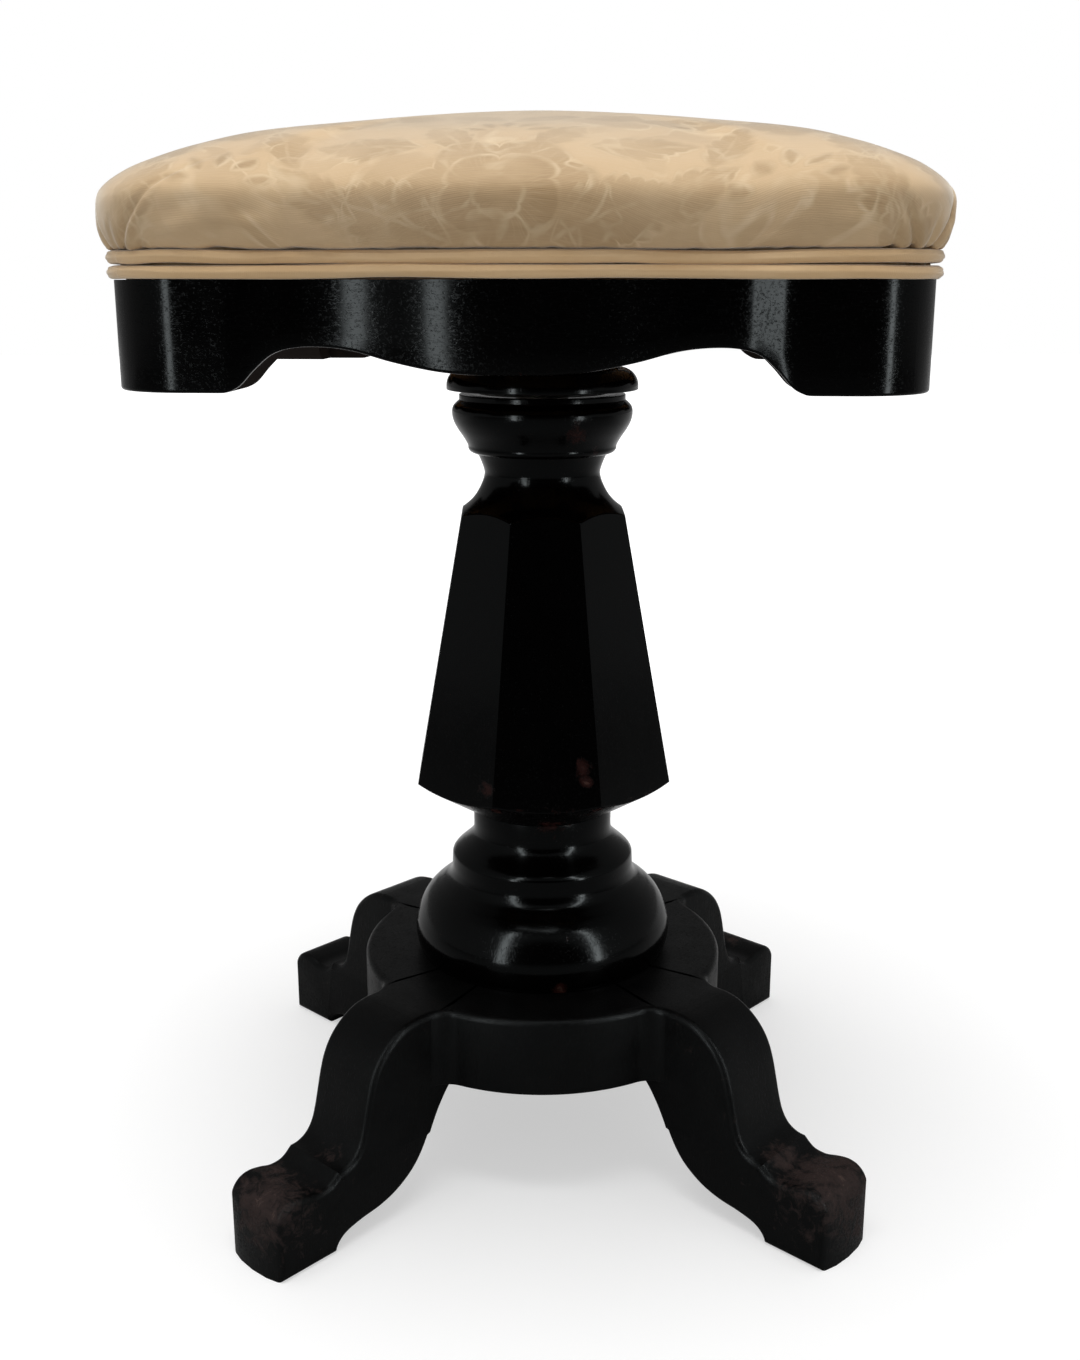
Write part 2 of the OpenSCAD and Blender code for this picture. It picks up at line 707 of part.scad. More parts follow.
module seat_board() {
    color(pine_colour)
        rotate(seat_turn)
            difference() {
                translate([0, 0, board_z]) linear_extrude(board_t)
                    polygon(seat_outline(-piping_rebate - cover_t - seat_gap, soft_steps));
                all_board_screws(fit);
            }
}

module board_screws() {
    color(iron_colour) rotate(seat_turn) all_board_screws();
}

// Horsehair pad: crowned, with drawn-in sides, just inside the cover
module seat_stuffing() {
    depth = cover_t + seat_gap;
    rings = cushion_rings(depth);
    m = len(rings[0]);
    n = len(rings);
    points = concat([for (r = rings) each r],
                    [[0, 0, cushion_z + cushion_h - depth],
                     [0, 0, rings[0][0][2]]]);
    color(hair_colour)
        rotate(seat_turn)
            polyhedron(points, concat(
                [for (k = [0 : n - 2]) each band(k, k + 1, m)],
                fan(n - 1, m, n * m), flipped(fan(0, m, n * m + 1))));
}

// Damask cover, drawn down over the edge of the board
module seat_cover() {
    outer = concat([skirt_ring(0)], cushion_rings(0));
    inner = concat([skirt_ring(cover_t)], cushion_rings(cover_t));
    m = len(outer[0]);
    n = len(outer);
    points = concat([for (r = outer) each r], [for (r = inner) each r],
                    [[0, 0, cushion_z + cushion_h],
                     [0, 0, cushion_z + cushion_h - cover_t]]);
    color(damask_colour)
        rotate(seat_turn)
            polyhedron(points, concat(
                [for (k = [0 : n - 2]) each band(k, k + 1, m)],
                fan(n - 1, m, 2 * n * m),
                flipped([for (k = [n : 2 * n - 2]) each band(k, k + 1, m)]),
                flipped(fan(2 * n - 1, m, 2 * n * m + 1)),
                band(n, 0, m)));
}

// One cord of the piping, laid round the covered edge of the board
module piping(z) {
    sides = 8;
    reach = piping_r + seat_gap - piping_rebate;
    loops = [for (k = [0 : sides - 1]) let (a = (k + 0.5) * 4 * quarter / sides)
        with_z(seat_outline(reach + piping_r * cos(a), soft_steps), z + piping_r * sin(a))];
    m = len(loops[0]);
    color(damask_colour)
        rotate(seat_turn)
            polyhedron([for (l = loops) each l],
                       [for (k = [0 : sides - 1]) each band(k, (k + 1) % sides, m)]);
}

module piping_lower() { piping(board_z + board_t / 4); }
module piping_upper() { piping(board_z + board_t * 3 / 4); }

platform();
leg_front_left();
leg_front_right();
leg_rear_left();
leg_rear_right();
leg_dowels();
column_base();
column_shaft();
column_capital();
tenon_wedge();
screw_nut();
nut_screws();
stop_washer();
screw_spindle();
stop_bolt();
seat_boss();
seat_plate();
boss_screws();
plate_screws();
seat_bearer();
apron_front();
apron_right();
apron_rear();
apron_left();
corner_blocks();
seat_board();
board_screws();
seat_stuffing();
seat_cover();
piping_lower();
piping_upper();
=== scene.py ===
# %% [markdown]
# # A revolving piano stool
# This notebook dresses the working model of a Victorian piano stool: an ebonised
# column on four scroll legs, and a serpentine seat in silk damask that rises on an
# iron screw. The working model gives every place and size, so it is loaded first.

# %% The frame
import bpy
import bmesh
import math
import numpy as np
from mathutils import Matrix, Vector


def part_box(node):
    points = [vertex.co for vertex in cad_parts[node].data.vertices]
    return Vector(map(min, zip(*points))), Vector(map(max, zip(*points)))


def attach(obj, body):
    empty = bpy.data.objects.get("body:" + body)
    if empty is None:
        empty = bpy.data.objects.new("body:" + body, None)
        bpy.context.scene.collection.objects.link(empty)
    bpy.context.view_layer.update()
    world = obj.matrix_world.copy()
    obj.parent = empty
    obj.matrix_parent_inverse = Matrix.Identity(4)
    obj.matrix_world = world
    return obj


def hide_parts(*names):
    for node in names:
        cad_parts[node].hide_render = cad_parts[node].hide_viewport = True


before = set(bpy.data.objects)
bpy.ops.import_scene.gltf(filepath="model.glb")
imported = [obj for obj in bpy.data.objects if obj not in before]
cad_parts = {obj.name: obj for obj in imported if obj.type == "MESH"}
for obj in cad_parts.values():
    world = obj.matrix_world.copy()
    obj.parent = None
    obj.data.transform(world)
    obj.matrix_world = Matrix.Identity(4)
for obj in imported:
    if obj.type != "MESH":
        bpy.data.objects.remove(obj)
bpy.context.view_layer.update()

# %% [markdown]
# Real sizes are easier to read in millimetres, and Blender works in metres. Colours
# are written as hex values, the way a paint chart gives them. A screen's hex value
# is brighter than the light it stands for, so one function turns it to linear.

# %% Units and colours
MM = 0.001


def paint(hex_value):
    """An sRGB hex colour as the linear colour that shaders expect."""
    parts = [int(hex_value[i:i + 2], 16) / 255 for i in (1, 3, 5)]
    return [p / 12.92 if p <= 0.04045 else ((p + 0.055) / 1.055) ** 2.4 for p in parts] + [1]


print("cream in linear light:", [round(c, 3) for c in paint("#D8C49C")])

# %% [markdown]
# The camera stands where the photographer stood: a little left of the stool's front,
# at the height of the rails, looking slightly down. The place and the lens come from
# matching the outline of the real stool, so they are written as real distances.

# %% The camera
CAMERA_PLACE = (-24.95, -730.2, 432.6)
CAMERA_HEADING = 1.957
CAMERA_DOWN = 14.77
CAMERA_LENS = 39.63
CAMERA_FILM = 36
AIM_RIGHT_OF_MIDDLE = 2.33 / 1360

scene = bpy.context.scene
camera = bpy.data.objects.new("camera", bpy.data.cameras.new("camera"))
scene.collection.objects.link(camera)
camera.location = [c * MM for c in CAMERA_PLACE]
camera.rotation_euler = (math.radians(90 - CAMERA_DOWN), 0, math.radians(-CAMERA_HEADING))
camera.data.sensor_fit = "VERTICAL"
camera.data.sensor_height = CAMERA_FILM
camera.data.lens = CAMERA_LENS
camera.data.shift_x = -AIM_RIGHT_OF_MIDDLE
camera.data.clip_start = 0.01
scene.camera = camera
scene.view_settings.view_transform = "Standard"
print("camera at", tuple(camera.location))

# %% [markdown]
# A material is a small graph. One function adds a node with its inputs and settings,
# so each finish below reads as a list of what it is made of.

# %% Adding a node


def put(tree, kind, *inputs, out=0, **settings):
    """Adds a shader node, fills or links its inputs in order, and gives back one output."""
    made = tree.nodes.new("ShaderNode" + kind)
    for key, value in settings.items():
        if key == "sockets":
            for name, source in value.items():
                tree.links.new(source, made.inputs[name])
        elif key == "values":
            for name, amount in value.items():
                made.inputs[name].default_value = amount
        else:
            setattr(made, key, value)
    for socket, value in zip(made.inputs, inputs):
        if isinstance(value, bpy.types.NodeSocket):
            tree.links.new(value, socket)
        elif value is not None:
            socket.default_value = value
    return made.outputs[out] if made.outputs else None


def new_finish(name):
    """A material with an empty graph, and its graph."""
    finish = bpy.data.materials.new(name)
    finish.use_nodes = True
    finish.node_tree.nodes.clear()
    return finish, finish.node_tree


print("put() adds a node, new_finish() starts a material")

# %% [markdown]
# The studio is plain, and most of it is there to be reflected. Real walls could be
# built, but a world that answers by direction is lighter, and no wall can get in the
# camera's way. Turned and polished wood shows windows as pairs of bright marks. The
# photo has them on every bead, with black between them and a soft grey outside them:
# so there is a dark room in front, with lit walls at the sides, dimmer ones straight
# behind, where the rims look, and a dark ceiling. To the camera the background is white.

# %% The room
CEILING_STARTS = 0.62
CEILING_ENDS = 1.08
DARK_ROOM_HALF = 40
ROOM_EDGE = 0.07
ROOM_LIGHT = 0.05
SIDE_WALLS = 0.85
SIDE_WALLS_END = -0.45
WALL_BEHIND = 0.25
WALL_BEHIND_STARTS = 0.85
DAYLIGHT = 0.5

world = bpy.data.worlds.new("studio")
scene.world = world
world.use_nodes = True
sky = world.node_tree
sky.nodes.clear()
ray = put(sky, "LightPath").node
sees_background = put(sky, "Math", ray.outputs["Is Glossy Ray"], ray.outputs["Is Transmission Ray"],
                      operation="MAXIMUM")
way = put(sky, "SeparateXYZ", put(sky, "TexCoord")).node
below_ceiling = put(sky, "MapRange", way.outputs[2], CEILING_STARTS, CEILING_ENDS, 1.0, 0.0,
                    interpolation_type="SMOOTHSTEP")
front = math.cos(math.radians(DARK_ROOM_HALF))
off_room = put(sky, "MapRange", way.outputs[1], -front - ROOM_EDGE, -front + ROOM_EDGE, 0.0, 1.0)
walls = put(sky, "MapRange", way.outputs[1], SIDE_WALLS_END, WALL_BEHIND_STARTS, SIDE_WALLS, WALL_BEHIND)
reflected = put(sky, "Math", sees_background, below_ceiling, operation="MULTIPLY")
reflected = put(sky, "Math", reflected, off_room, operation="MULTIPLY")
reflected = put(sky, "Math", reflected, walls, operation="MULTIPLY")
white_share = put(sky, "Math", ray.outputs["Is Camera Ray"], reflected, operation="MAXIMUM")
dim = put(sky, "MapRange", sees_background, 0.0, 1.0, DAYLIGHT, ROOM_LIGHT)
strength = put(sky, "MapRange", white_share, 0.0, 1.0, dim, 1.0)
put(sky, "OutputWorld", put(sky, "Background", paint("#FFFFFF"), strength))
print("the dark room in front is", 2 * DARK_ROOM_HALF, "degrees wide")

# %% [markdown]
# The floor takes the stool's shadow, and still has to run into the white background
# without a line. A shadow catcher could do that, but it needs a second step, which
# lays the stool over white. So this is a pale sheet that glows to the camera, half as
# much under the stool, where the shadow lies, and fully further off. Polish sees it
# glow behind the stool only.

# %% The floor
FLOOR_REACH = 9
FLOOR_IN_POLISH = 0.3
POLISH_SEES_FROM = 0.1
POLISH_SEES_ALL = 0.9
SHADOW_REACH = 0.3
GLOW_REACH = 1.2
GLOW_BY_STOOL = 0.5

floor_finish, tree = new_finish("pale_studio_floor")
ray = put(tree, "LightPath").node
place = put(tree, "TexCoord", out=3)
behind = put(tree, "MapRange", put(tree, "SeparateXYZ", place, out=1), POLISH_SEES_FROM, POLISH_SEES_ALL,
             0.0, FLOOR_IN_POLISH)
seen = put(tree, "Math", ray.outputs["Is Glossy Ray"], ray.outputs["Is Transmission Ray"],
           operation="MAXIMUM")
seen = put(tree, "Math", seen, behind, operation="MULTIPLY")
seen = put(tree, "Math", seen, ray.outputs["Is Camera Ray"], operation="MAXIMUM")
away = put(tree, "VectorMath", place, out=1, operation="LENGTH")
glow = put(tree, "MapRange", away, SHADOW_REACH, GLOW_REACH, GLOW_BY_STOOL, 1.0,
           interpolation_type="SMOOTHSTEP")
lift = put(tree, "Math", seen, glow, operation="MULTIPLY")
surface = put(tree, "BsdfPrincipled", sockets={"Emission Strength": lift},
              values={"Base Color": paint("#C4C4C4"), "Roughness": 0.9, "Specular IOR Level": 0.1,
                      "Emission Color": paint("#FFFFFF")})
put(tree, "OutputMaterial", surface)

floor_mesh = bpy.data.meshes.new("studio_floor")
corners = [(-1, -1), (1, -1), (1, 1), (-1, 1)]
floor_mesh.from_pydata([(x * FLOOR_REACH, y * FLOOR_REACH, 0) for x, y in corners], [], [(0, 1, 2, 3)])
floor_mesh.materials.append(floor_finish)
studio_floor = bpy.data.objects.new("studio_floor", floor_mesh)
scene.collection.objects.link(studio_floor)
print("floor:", 2 * FLOOR_REACH, "m wide")

# %% [markdown]
# Two tall windows stand just outside the dark room's opening. They are there for the
# marks in the polish alone, so they light nothing else. One large soft lamp overhead
# lights the silk and the wood. Its power is set from the front, so that the pale silk
# keeps its drawing there.

# %% The lamps
AIM_HEIGHT = 1.2


def lamp(name, side, height, reach, width, tall, power, lights=True):
    """An area lamp at an angle from the front, aimed at the stool; it can be for shine alone."""
    light = bpy.data.lights.new(name, "AREA")
    light.shape = "RECTANGLE"
    light.size = width
    light.size_y = tall
    light.energy = power
    made = bpy.data.objects.new(name, light)
    scene.collection.objects.link(made)
    turn = math.radians(side)
    made.location = (reach * math.sin(turn), -reach * math.cos(turn), height)
    aim = Vector((0, 0, min(height, AIM_HEIGHT))) - made.location
    made.rotation_euler = aim.to_track_quat("-Z", "Y").to_euler()
    made.visible_diffuse = lights


lamp("left_window", -37, 1.0, 1.4, 0.17, 2.16, 33, lights=False)
lamp("right_window", 46, 1.0, 1.4, 0.15, 2.16, 33, lights=False)
lamp("overhead_light", -25, 2.4, 0.25, 1.5, 1.5, 44)

# %% [markdown]
# Ebonised wood is mahogany or beech stained black, then French polished with shellac
# over a rubber of black pigment. The polish is thin, so the long pores of the wood
# still show as fine grooves, and where hands and shoes rub the edges the black wears
# through to red-brown wood. A picture of worn wood could be laid on, but it would not
# follow the edges. Here the mesh carries a value called wear, high on edges and on
# rubbed spots, and noise breaks it into patches. Shellac's IOR is about 1.52. Old
# polish has sunk and crazed, and throws back much less light than a fresh film, so
# the specular level is low.

# %% Ebonised wood
PORE_LENGTH = 7
# Mahogany's pores are about 0.35 mm wide, and drawn over twice as wide so that they show.
PORE_WIDTH = 0.77
RIPPLE = 14
WEAR_PATCH = 6
SCUFF = 1.1
WORN_OVER = 0.2
BARE_FROM = 0.28
BARE_TO = 0.38
SCUFF_DULLS = 0.2
WEAR_DULLS = 0.18


def ebonised_wood(name, gloss, grain_along, wear_edge, pore_depth, scuffing, shine, stain, under):
    """Black-stained wood with a shellac polish; gloss is its roughness."""
    finish, tree = new_finish(name)
    place = put(tree, "TexCoord", out=3)
    stretch = [1000 / (PORE_LENGTH if axis == grain_along else PORE_WIDTH) for axis in "xyz"]
    along = put(tree, "Mapping", place, values={"Scale": stretch})
    pores = put(tree, "TexNoise", along, values={"Scale": 1.0, "Detail": 3.0, "Roughness": 0.6})
    grooves = put(tree, "MapRange", pores, 0.56, 0.72, 0.0, 1.0)
    ripple = put(tree, "TexNoise", place, values={"Scale": 1000 / RIPPLE, "Detail": 2.0})
    specks = put(tree, "TexNoise", place,
                 values={"Scale": 1000 / SCUFF, "Detail": 2.0, "Roughness": 0.7})
    patches = put(tree, "TexNoise", place,
                  values={"Scale": 1000 / WEAR_PATCH, "Detail": 6.0, "Roughness": 0.72, "Distortion": 0.6})
    rubbed = put(tree, "Attribute", attribute_name="wear", out=2)
    both = put(tree, "Math", rubbed, patches, operation="ADD")
    worn = put(tree, "MapRange", both, wear_edge, wear_edge + WORN_OVER, 0.0, 1.0)
    bare = put(tree, "MapRange", both, wear_edge + BARE_FROM, wear_edge + BARE_TO, 0.0, 1.0)
    # The stain lies deepest in the pores and thins a little between them.
    black = put(tree, "MixRGB", ripple, paint(stain[0]), paint(stain[1]))
    stained = put(tree, "MixRGB", worn, black, paint(under[0]))
    colour = put(tree, "MixRGB", bare, stained, paint(under[1]))
    # Scuffs are specks of dull polish, most of them where it has been rubbed.
    scuffed = put(tree, "Math", rubbed, scuffing, specks, operation="MULTIPLY_ADD")
    scuffed = put(tree, "MapRange", scuffed, 0.6, 0.72, 0.0, 1.0)
    dull = put(tree, "MapRange", ripple, 0.3, 0.75, gloss * 0.88, gloss * 1.16)
    dull = put(tree, "Math", scuffed, SCUFF_DULLS, dull, operation="MULTIPLY_ADD")
    rough = put(tree, "Math", worn, WEAR_DULLS, dull, operation="MULTIPLY_ADD")
    # Towards a sawn face the wear runs below zero, and there the polish fades out.
    unpolished = put(tree, "MapRange", rubbed, -0.4, -0.9, 0.0, 0.7)
    rough = put(tree, "Math", rough, unpolished, operation="ADD")
    waves = put(tree, "Bump", values={"Strength": 0.3, "Distance": 0.2 * MM}, sockets={"Height": ripple})
    bumps = put(tree, "Bump", values={"Strength": pore_depth, "Distance": 0.12 * MM},
                sockets={"Height": grooves, "Normal": waves}, invert=True)
    chips = put(tree, "Bump", values={"Strength": 0.5, "Distance": 0.15 * MM},
                sockets={"Height": worn, "Normal": bumps}, invert=True)
    # The pale blue-green specular tint is a painted reflection colour: it gives the polish's reflections the
    # cool tone of the room's light.
    surface = put(tree, "BsdfPrincipled", sockets={"Base Color": colour, "Roughness": rough, "Normal": chips},
                  values={"IOR": 1.52, "Specular IOR Level": shine, "Specular Tint": paint("#E9F3F5")})
    put(tree, "OutputMaterial", surface)
    return finish


polished_column = ebonised_wood("french_polished_ebonised_mahogany", 0.14, "z", 0.94, 0.12, 0.1, 0.059,
                                ("#010101", "#030202"), ("#260F0C", "#46302A"))
polished_rail = ebonised_wood("ebonised_mahogany_rail", 0.13, "x", 0.98, 0.2, 0.3, 0.042,
                              ("#010101", "#030202"), ("#240907", "#4B2A1B"))
handled_base = ebonised_wood("worn_ebonised_beech", 0.36, "z", 0.92, 0.4, 0.3, 0.062,
                             ("#040404", "#080707"), ("#2E2422", "#4A3C37"))
print("polished:", polished_column.name, polished_rail.name, handled_base.name)

# %% [markdown]
# Sawn faces take the stain but no polish. They have no film to throw light back, not
# even seen along the face, so the specular level is nothing and the colour does it
# all: a dusty near-black with no shine.

# %% Stained sawn wood
sawn_wood, tree = new_finish("stained_sawn_wood")
surface = put(tree, "BsdfPrincipled",
              values={"Base Color": paint("#2A2624"), "Roughness": 1.0, "Specular IOR Level": 0.0})
put(tree, "OutputMaterial", surface)
print("sawn faces:", sawn_wood.name)

# %% [markdown]
# The silk is a damask: one colour of thread, woven so that the figure lies in smooth
# satin and the ground in a duller weave. The figure is a common one, rounded blossoms
# among broad leaves, fans of small drops and fine scrolls. A picture could be wrapped
# on, but shapes from formulas stay sharp at any size. They are drawn on the flat cloth,
# so the mesh carries each point's place there. Folding the repeat about its middle makes
# it symmetrical, and a slow wander makes it less stiff, as a hand-drawn pattern is.

# %% The repeat of the damask
REPEAT_W = 214
REPEAT_H = 204
WARP = 5.5
WARP_REACH = 26


def folded_repeat(tree, cloth, shift_x, shift_y):
    """The cloth after its slow wander, and its place in one folded repeat."""
    wander = put(tree, "TexNoise", cloth, out=1, values={"Scale": 1 / WARP_REACH, "Detail": 3.0})
    wander = put(tree, "VectorMath", wander, (0.5, 0.5, 0.5), operation="SUBTRACT")
    wander = put(tree, "VectorMath", wander, (WARP * 2, WARP * 2, 0), (shift_x, shift_y, 0),
                 operation="MULTIPLY_ADD")
    drawn = put(tree, "VectorMath", cloth, wander, operation="ADD")
    repeat = put(tree, "VectorMath", drawn, (REPEAT_W / 2, REPEAT_H / 2, 1),
                 (-REPEAT_W / 2, -REPEAT_H / 2, -1), operation="WRAP")
    sides = put(tree, "SeparateXYZ", repeat).node
    across = put(tree, "Math", sides.outputs[0], operation="ABSOLUTE")
    return drawn, put(tree, "CombineXYZ", across, sides.outputs[1])


print("the figure repeats every", REPEAT_W, "by", REPEAT_H, "mm")

# %% [markdown]
# Each shape is a formula for how far inside its edge a point lies. That one number gives both things that the
# weave shows: the satin, with a soft edge where threads cross over, and the line that binds the edge, which
# is painted pale as a painted glint.

# %% Laying a shape on the cloth
FIGURE_BLUR = 2.1
OUTLINE_W = 0.9
OUTLINE_DEEP = 0.9


def lay(tree, masks, inside, tone, veins=None):
    """Adds a shape to the masks of the figure and of its outline."""
    shape = put(tree, "MapRange", inside, -FIGURE_BLUR, FIGURE_BLUR, 0.0, tone)
    rim = put(tree, "Math", inside, operation="ABSOLUTE")
    rim = put(tree, "MapRange", rim, OUTLINE_W * 0.3, OUTLINE_W * 1.6, OUTLINE_DEEP, 0.0)
    if veins is not None:
        veins = put(tree, "Math", veins, shape, operation="MULTIPLY")
        rim = put(tree, "Math", rim, veins, operation="MAXIMUM")
    for key, mask in (("figure", shape), ("outline", rim)):
        masks[key] = put(tree, "Math", masks[key], mask, operation="MAXIMUM") if key in masks else mask


print("satin edge:", 2 * FIGURE_BLUR, "mm soft")

# %% [markdown]
# A blossom is a ring of petals: its edge runs in and out with the angle round its
# middle. Large ones hold smaller ones, each of another tone, as layers of petals.

# %% Blossoms
# Each blossom: its middle, its size, its number of petals, how dark the satin is.
BLOSSOMS = ((0, 0, 41, 7, 0.7), (0, 2, 25, 5, 0.95), (0, 2, 10, 3, 0.45), (95, -18, 17, 5, 0.8),
            (95, -18, 6, 3, 0.4), (40, 84, 13, 5, 0.8), (107, 70, 20, 5, 0.8))
BLOSSOM_TALL = 0.9
PETAL_FULL = 0.4
PETAL_FOOT = 0.74
PETAL_LONG = 0.35
PETAL_VEINS = 6.0


def blossom(tree, folded, at_x, at_y, size, petals):
    """How far inside a blossom a point lies, and the veins of its petals."""
    own = put(tree, "Mapping", folded, vector_type="TEXTURE",
              values={"Location": (at_x, at_y, 0), "Scale": (size, size * BLOSSOM_TALL, 1)})
    # A petal points straight up, so that the fold leaves it whole.
    turn = put(tree, "TexGradient", own, out=1, gradient_type="RADIAL")
    turn = put(tree, "Math", turn, petals, 0.5 - petals / 4, operation="MULTIPLY_ADD")
    petal = put(tree, "Math", turn, 0.5, operation="PINGPONG")
    petal = put(tree, "Math", petal, PETAL_FULL, operation="POWER")
    edge = put(tree, "Math", petal, size * PETAL_LONG, size * PETAL_FOOT, operation="MULTIPLY_ADD")
    away = put(tree, "VectorMath", own, out=1, operation="LENGTH")
    away = put(tree, "Math", away, -size, operation="MULTIPLY")
    inside = put(tree, "Math", away, edge, operation="ADD")
    veins = put(tree, "Math", turn, PETAL_VEINS, operation="MULTIPLY")
    veins = put(tree, "Math", veins, 0.5, operation="PINGPONG")
    return inside, put(tree, "MapRange", veins, 0.34, 0.5, 0.0, 0.3)


print("blossoms:", len(BLOSSOMS))

# %% [markdown]
# A broad leaf is a lens with a lobed edge. Its veins slant back from a middle rib, and
# the lobes follow the same slant, so edge and veins belong together.

# %% Leaves
# Each leaf: its middle, its direction, half its length and width, how dark the satin is.
LEAVES = ((46, 2, 36, 29, 15, 0.75), (74, 18, 42, 20, 10, 0.8), (20, 42, 62, 20, 9, 0.75),
          (52, 40, 18, 22, 10, 0.7), (84, 46, 68, 18, 9, 0.8), (28, -45, -58, 22, 11, 0.8),
          (64, -42, -28, 22, 10, 0.7), (14, 78, 42, 18, 8, 0.8), (66, 74, -18, 22, 9, 0.75),
          (96, -66, 55, 19, 9, 0.75), (46, -84, 8, 22, 9, 0.8))
LOBE = 7.4
LOBE_FOOT = 0.76
LOBE_DEPTH = 0.16
VEIN = 3.4
RIB_HALF = 0.4
RIB_FADES = 1.2


def leaf(tree, folded, at_x, at_y, direction, long, wide):
    """How far inside a leaf a point lies, and its veins."""
    own = put(tree, "Mapping", folded, vector_type="TEXTURE",
              values={"Location": (at_x, at_y, 0), "Rotation": (0, 0, math.radians(direction))})
    along = put(tree, "SeparateXYZ", own)
    off = put(tree, "Math", along.node.outputs[1], operation="ABSOLUTE")
    taper = put(tree, "Math", along, 1 / long, operation="MULTIPLY")
    lens = put(tree, "Math", taper, taper, operation="MULTIPLY")
    lens = put(tree, "Math", lens, -wide, wide, operation="MULTIPLY_ADD")
    slant = put(tree, "Math", off, -1.0, along, operation="MULTIPLY_ADD")
    lobe = put(tree, "Math", slant, LOBE / 2, operation="PINGPONG")
    lobe = put(tree, "Math", lobe, 0.5, operation="POWER")
    lobe = put(tree, "Math", lobe, LOBE_DEPTH, LOBE_FOOT, operation="MULTIPLY_ADD")
    inside = put(tree, "Math", lens, lobe, operation="MULTIPLY")
    inside = put(tree, "Math", inside, off, operation="SUBTRACT")
    veins = put(tree, "Math", slant, VEIN / 2, operation="PINGPONG")
    veins = put(tree, "MapRange", veins, VEIN * 0.38, VEIN / 2, 0.0, 0.35)
    middle_rib = put(tree, "MapRange", off, RIB_HALF, RIB_FADES, 0.9, 0.0)
    return inside, put(tree, "Math", veins, middle_rib, operation="MAXIMUM")


print("leaves:", len(LEAVES))

# %% [markdown]
# Fans of small drops fill the gaps. Spokes at even angles carry a narrow lens each, at
# one distance from the fan's middle, and the fan stops below.

# %% Fans of drops
# Each fan: its middle and how far out its drops lie.
DROP_FANS = ((107, 14, 17), (78, 64, 14), (0, 46, 13))
DROP_LONG = 6
DROP_WIDE = 2.8
DROP_TURN = 17
FAN_ENDS = 1.5
FAN_GONE = 1.7


def drop_fan(tree, folded, at_x, at_y, reach):
    """How far inside the drops of a fan a point lies."""
    own = put(tree, "Mapping", folded, vector_type="TEXTURE", values={"Location": (at_x, at_y, 0)})
    ways = put(tree, "SeparateXYZ", own).node
    away = put(tree, "VectorMath", own, out=1, operation="LENGTH")
    turn = put(tree, "Math", ways.outputs[0], ways.outputs[1], operation="ARCTAN2")
    spoke = put(tree, "Math", turn, math.radians(DROP_TURN), math.radians(-DROP_TURN), operation="WRAP")
    off = put(tree, "Math", spoke, away, operation="MULTIPLY")
    off = put(tree, "Math", off, operation="ABSOLUTE")
    taper = put(tree, "Math", away, 1 / DROP_LONG, -reach / DROP_LONG, operation="MULTIPLY_ADD")
    drop = put(tree, "Math", taper, taper, operation="MULTIPLY")
    drop = put(tree, "Math", drop, -DROP_WIDE, DROP_WIDE, operation="MULTIPLY_ADD")
    below = put(tree, "Math", turn, operation="ABSOLUTE")
    below = put(tree, "MapRange", below, FAN_ENDS, FAN_GONE, 0.0, -8.0)
    inside = put(tree, "Math", drop, off, operation="SUBTRACT")
    return put(tree, "Math", inside, below, operation="ADD")


print("fans of drops:", len(DROP_FANS))

# %% [markdown]
# The whole figure is laid down in the order of a draughtsman: first the scrolls, which
# follow one level of a slow noise with a little satin on one side, then the rest.

# %% The damask figure
SCROLL_REACH = 23
SCROLL_STEEP = 34.0
SCROLL_LEVEL = -18.4
SCROLL_TONE = 0.35


def damask_figure(tree, cloth, shift_x, shift_y):
    """Figure and outline of the cloth, as two masks; the outline later takes a painted glint."""
    drawn, folded = folded_repeat(tree, cloth, shift_x, shift_y)
    masks = {}
    scroll = put(tree, "TexNoise", drawn,
                 values={"Scale": 1 / SCROLL_REACH, "Detail": 2.0, "Roughness": 0.4, "Distortion": 0.7})
    scroll = put(tree, "Math", scroll, SCROLL_STEEP, SCROLL_LEVEL, operation="MULTIPLY_ADD")
    lay(tree, masks, scroll, SCROLL_TONE)
    for *sizes, tone in BLOSSOMS:
        inside, veins = blossom(tree, folded, *sizes)
        lay(tree, masks, inside, tone, veins)
    for *sizes, tone in LEAVES:
        inside, veins = leaf(tree, folded, *sizes)
        lay(tree, masks, inside, tone, veins)
    for sizes in DROP_FANS:
        lay(tree, masks, drop_fan(tree, folded, *sizes), 1.0)
    return masks["figure"], masks["outline"]


print("shapes in the figure:", len(BLOSSOMS) + len(LEAVES) + len(DROP_FANS))

# %% [markdown]
# Champagne silk: the ground is the lighter and duller. The satin figure looks darker from the front because
# it mirrors the dark room, and that darkness is painted into its colour as painted shade. The fuzz of fine
# threads catches light along the edge, which sheen gives. The thread spacing is about 0.2 mm, too fine to
# show, so the ribs are drawn at 0.7 mm, with thicker slubs along the weft.

# %% Silk damask and plain silk
RIB = 0.7
SLUB_LENGTH = 16
AGE_PATCH = 45
WORN_THREAD = 14
# The figure is shifted on the cloth so that a large blossom lies at the front.
FIGURE_AT = (4, 184)
# How strongly the outline's painted glint shows.
OUTLINE_GLINT_SHARE = 0.55
SATIN_SMOOTHER = -0.14


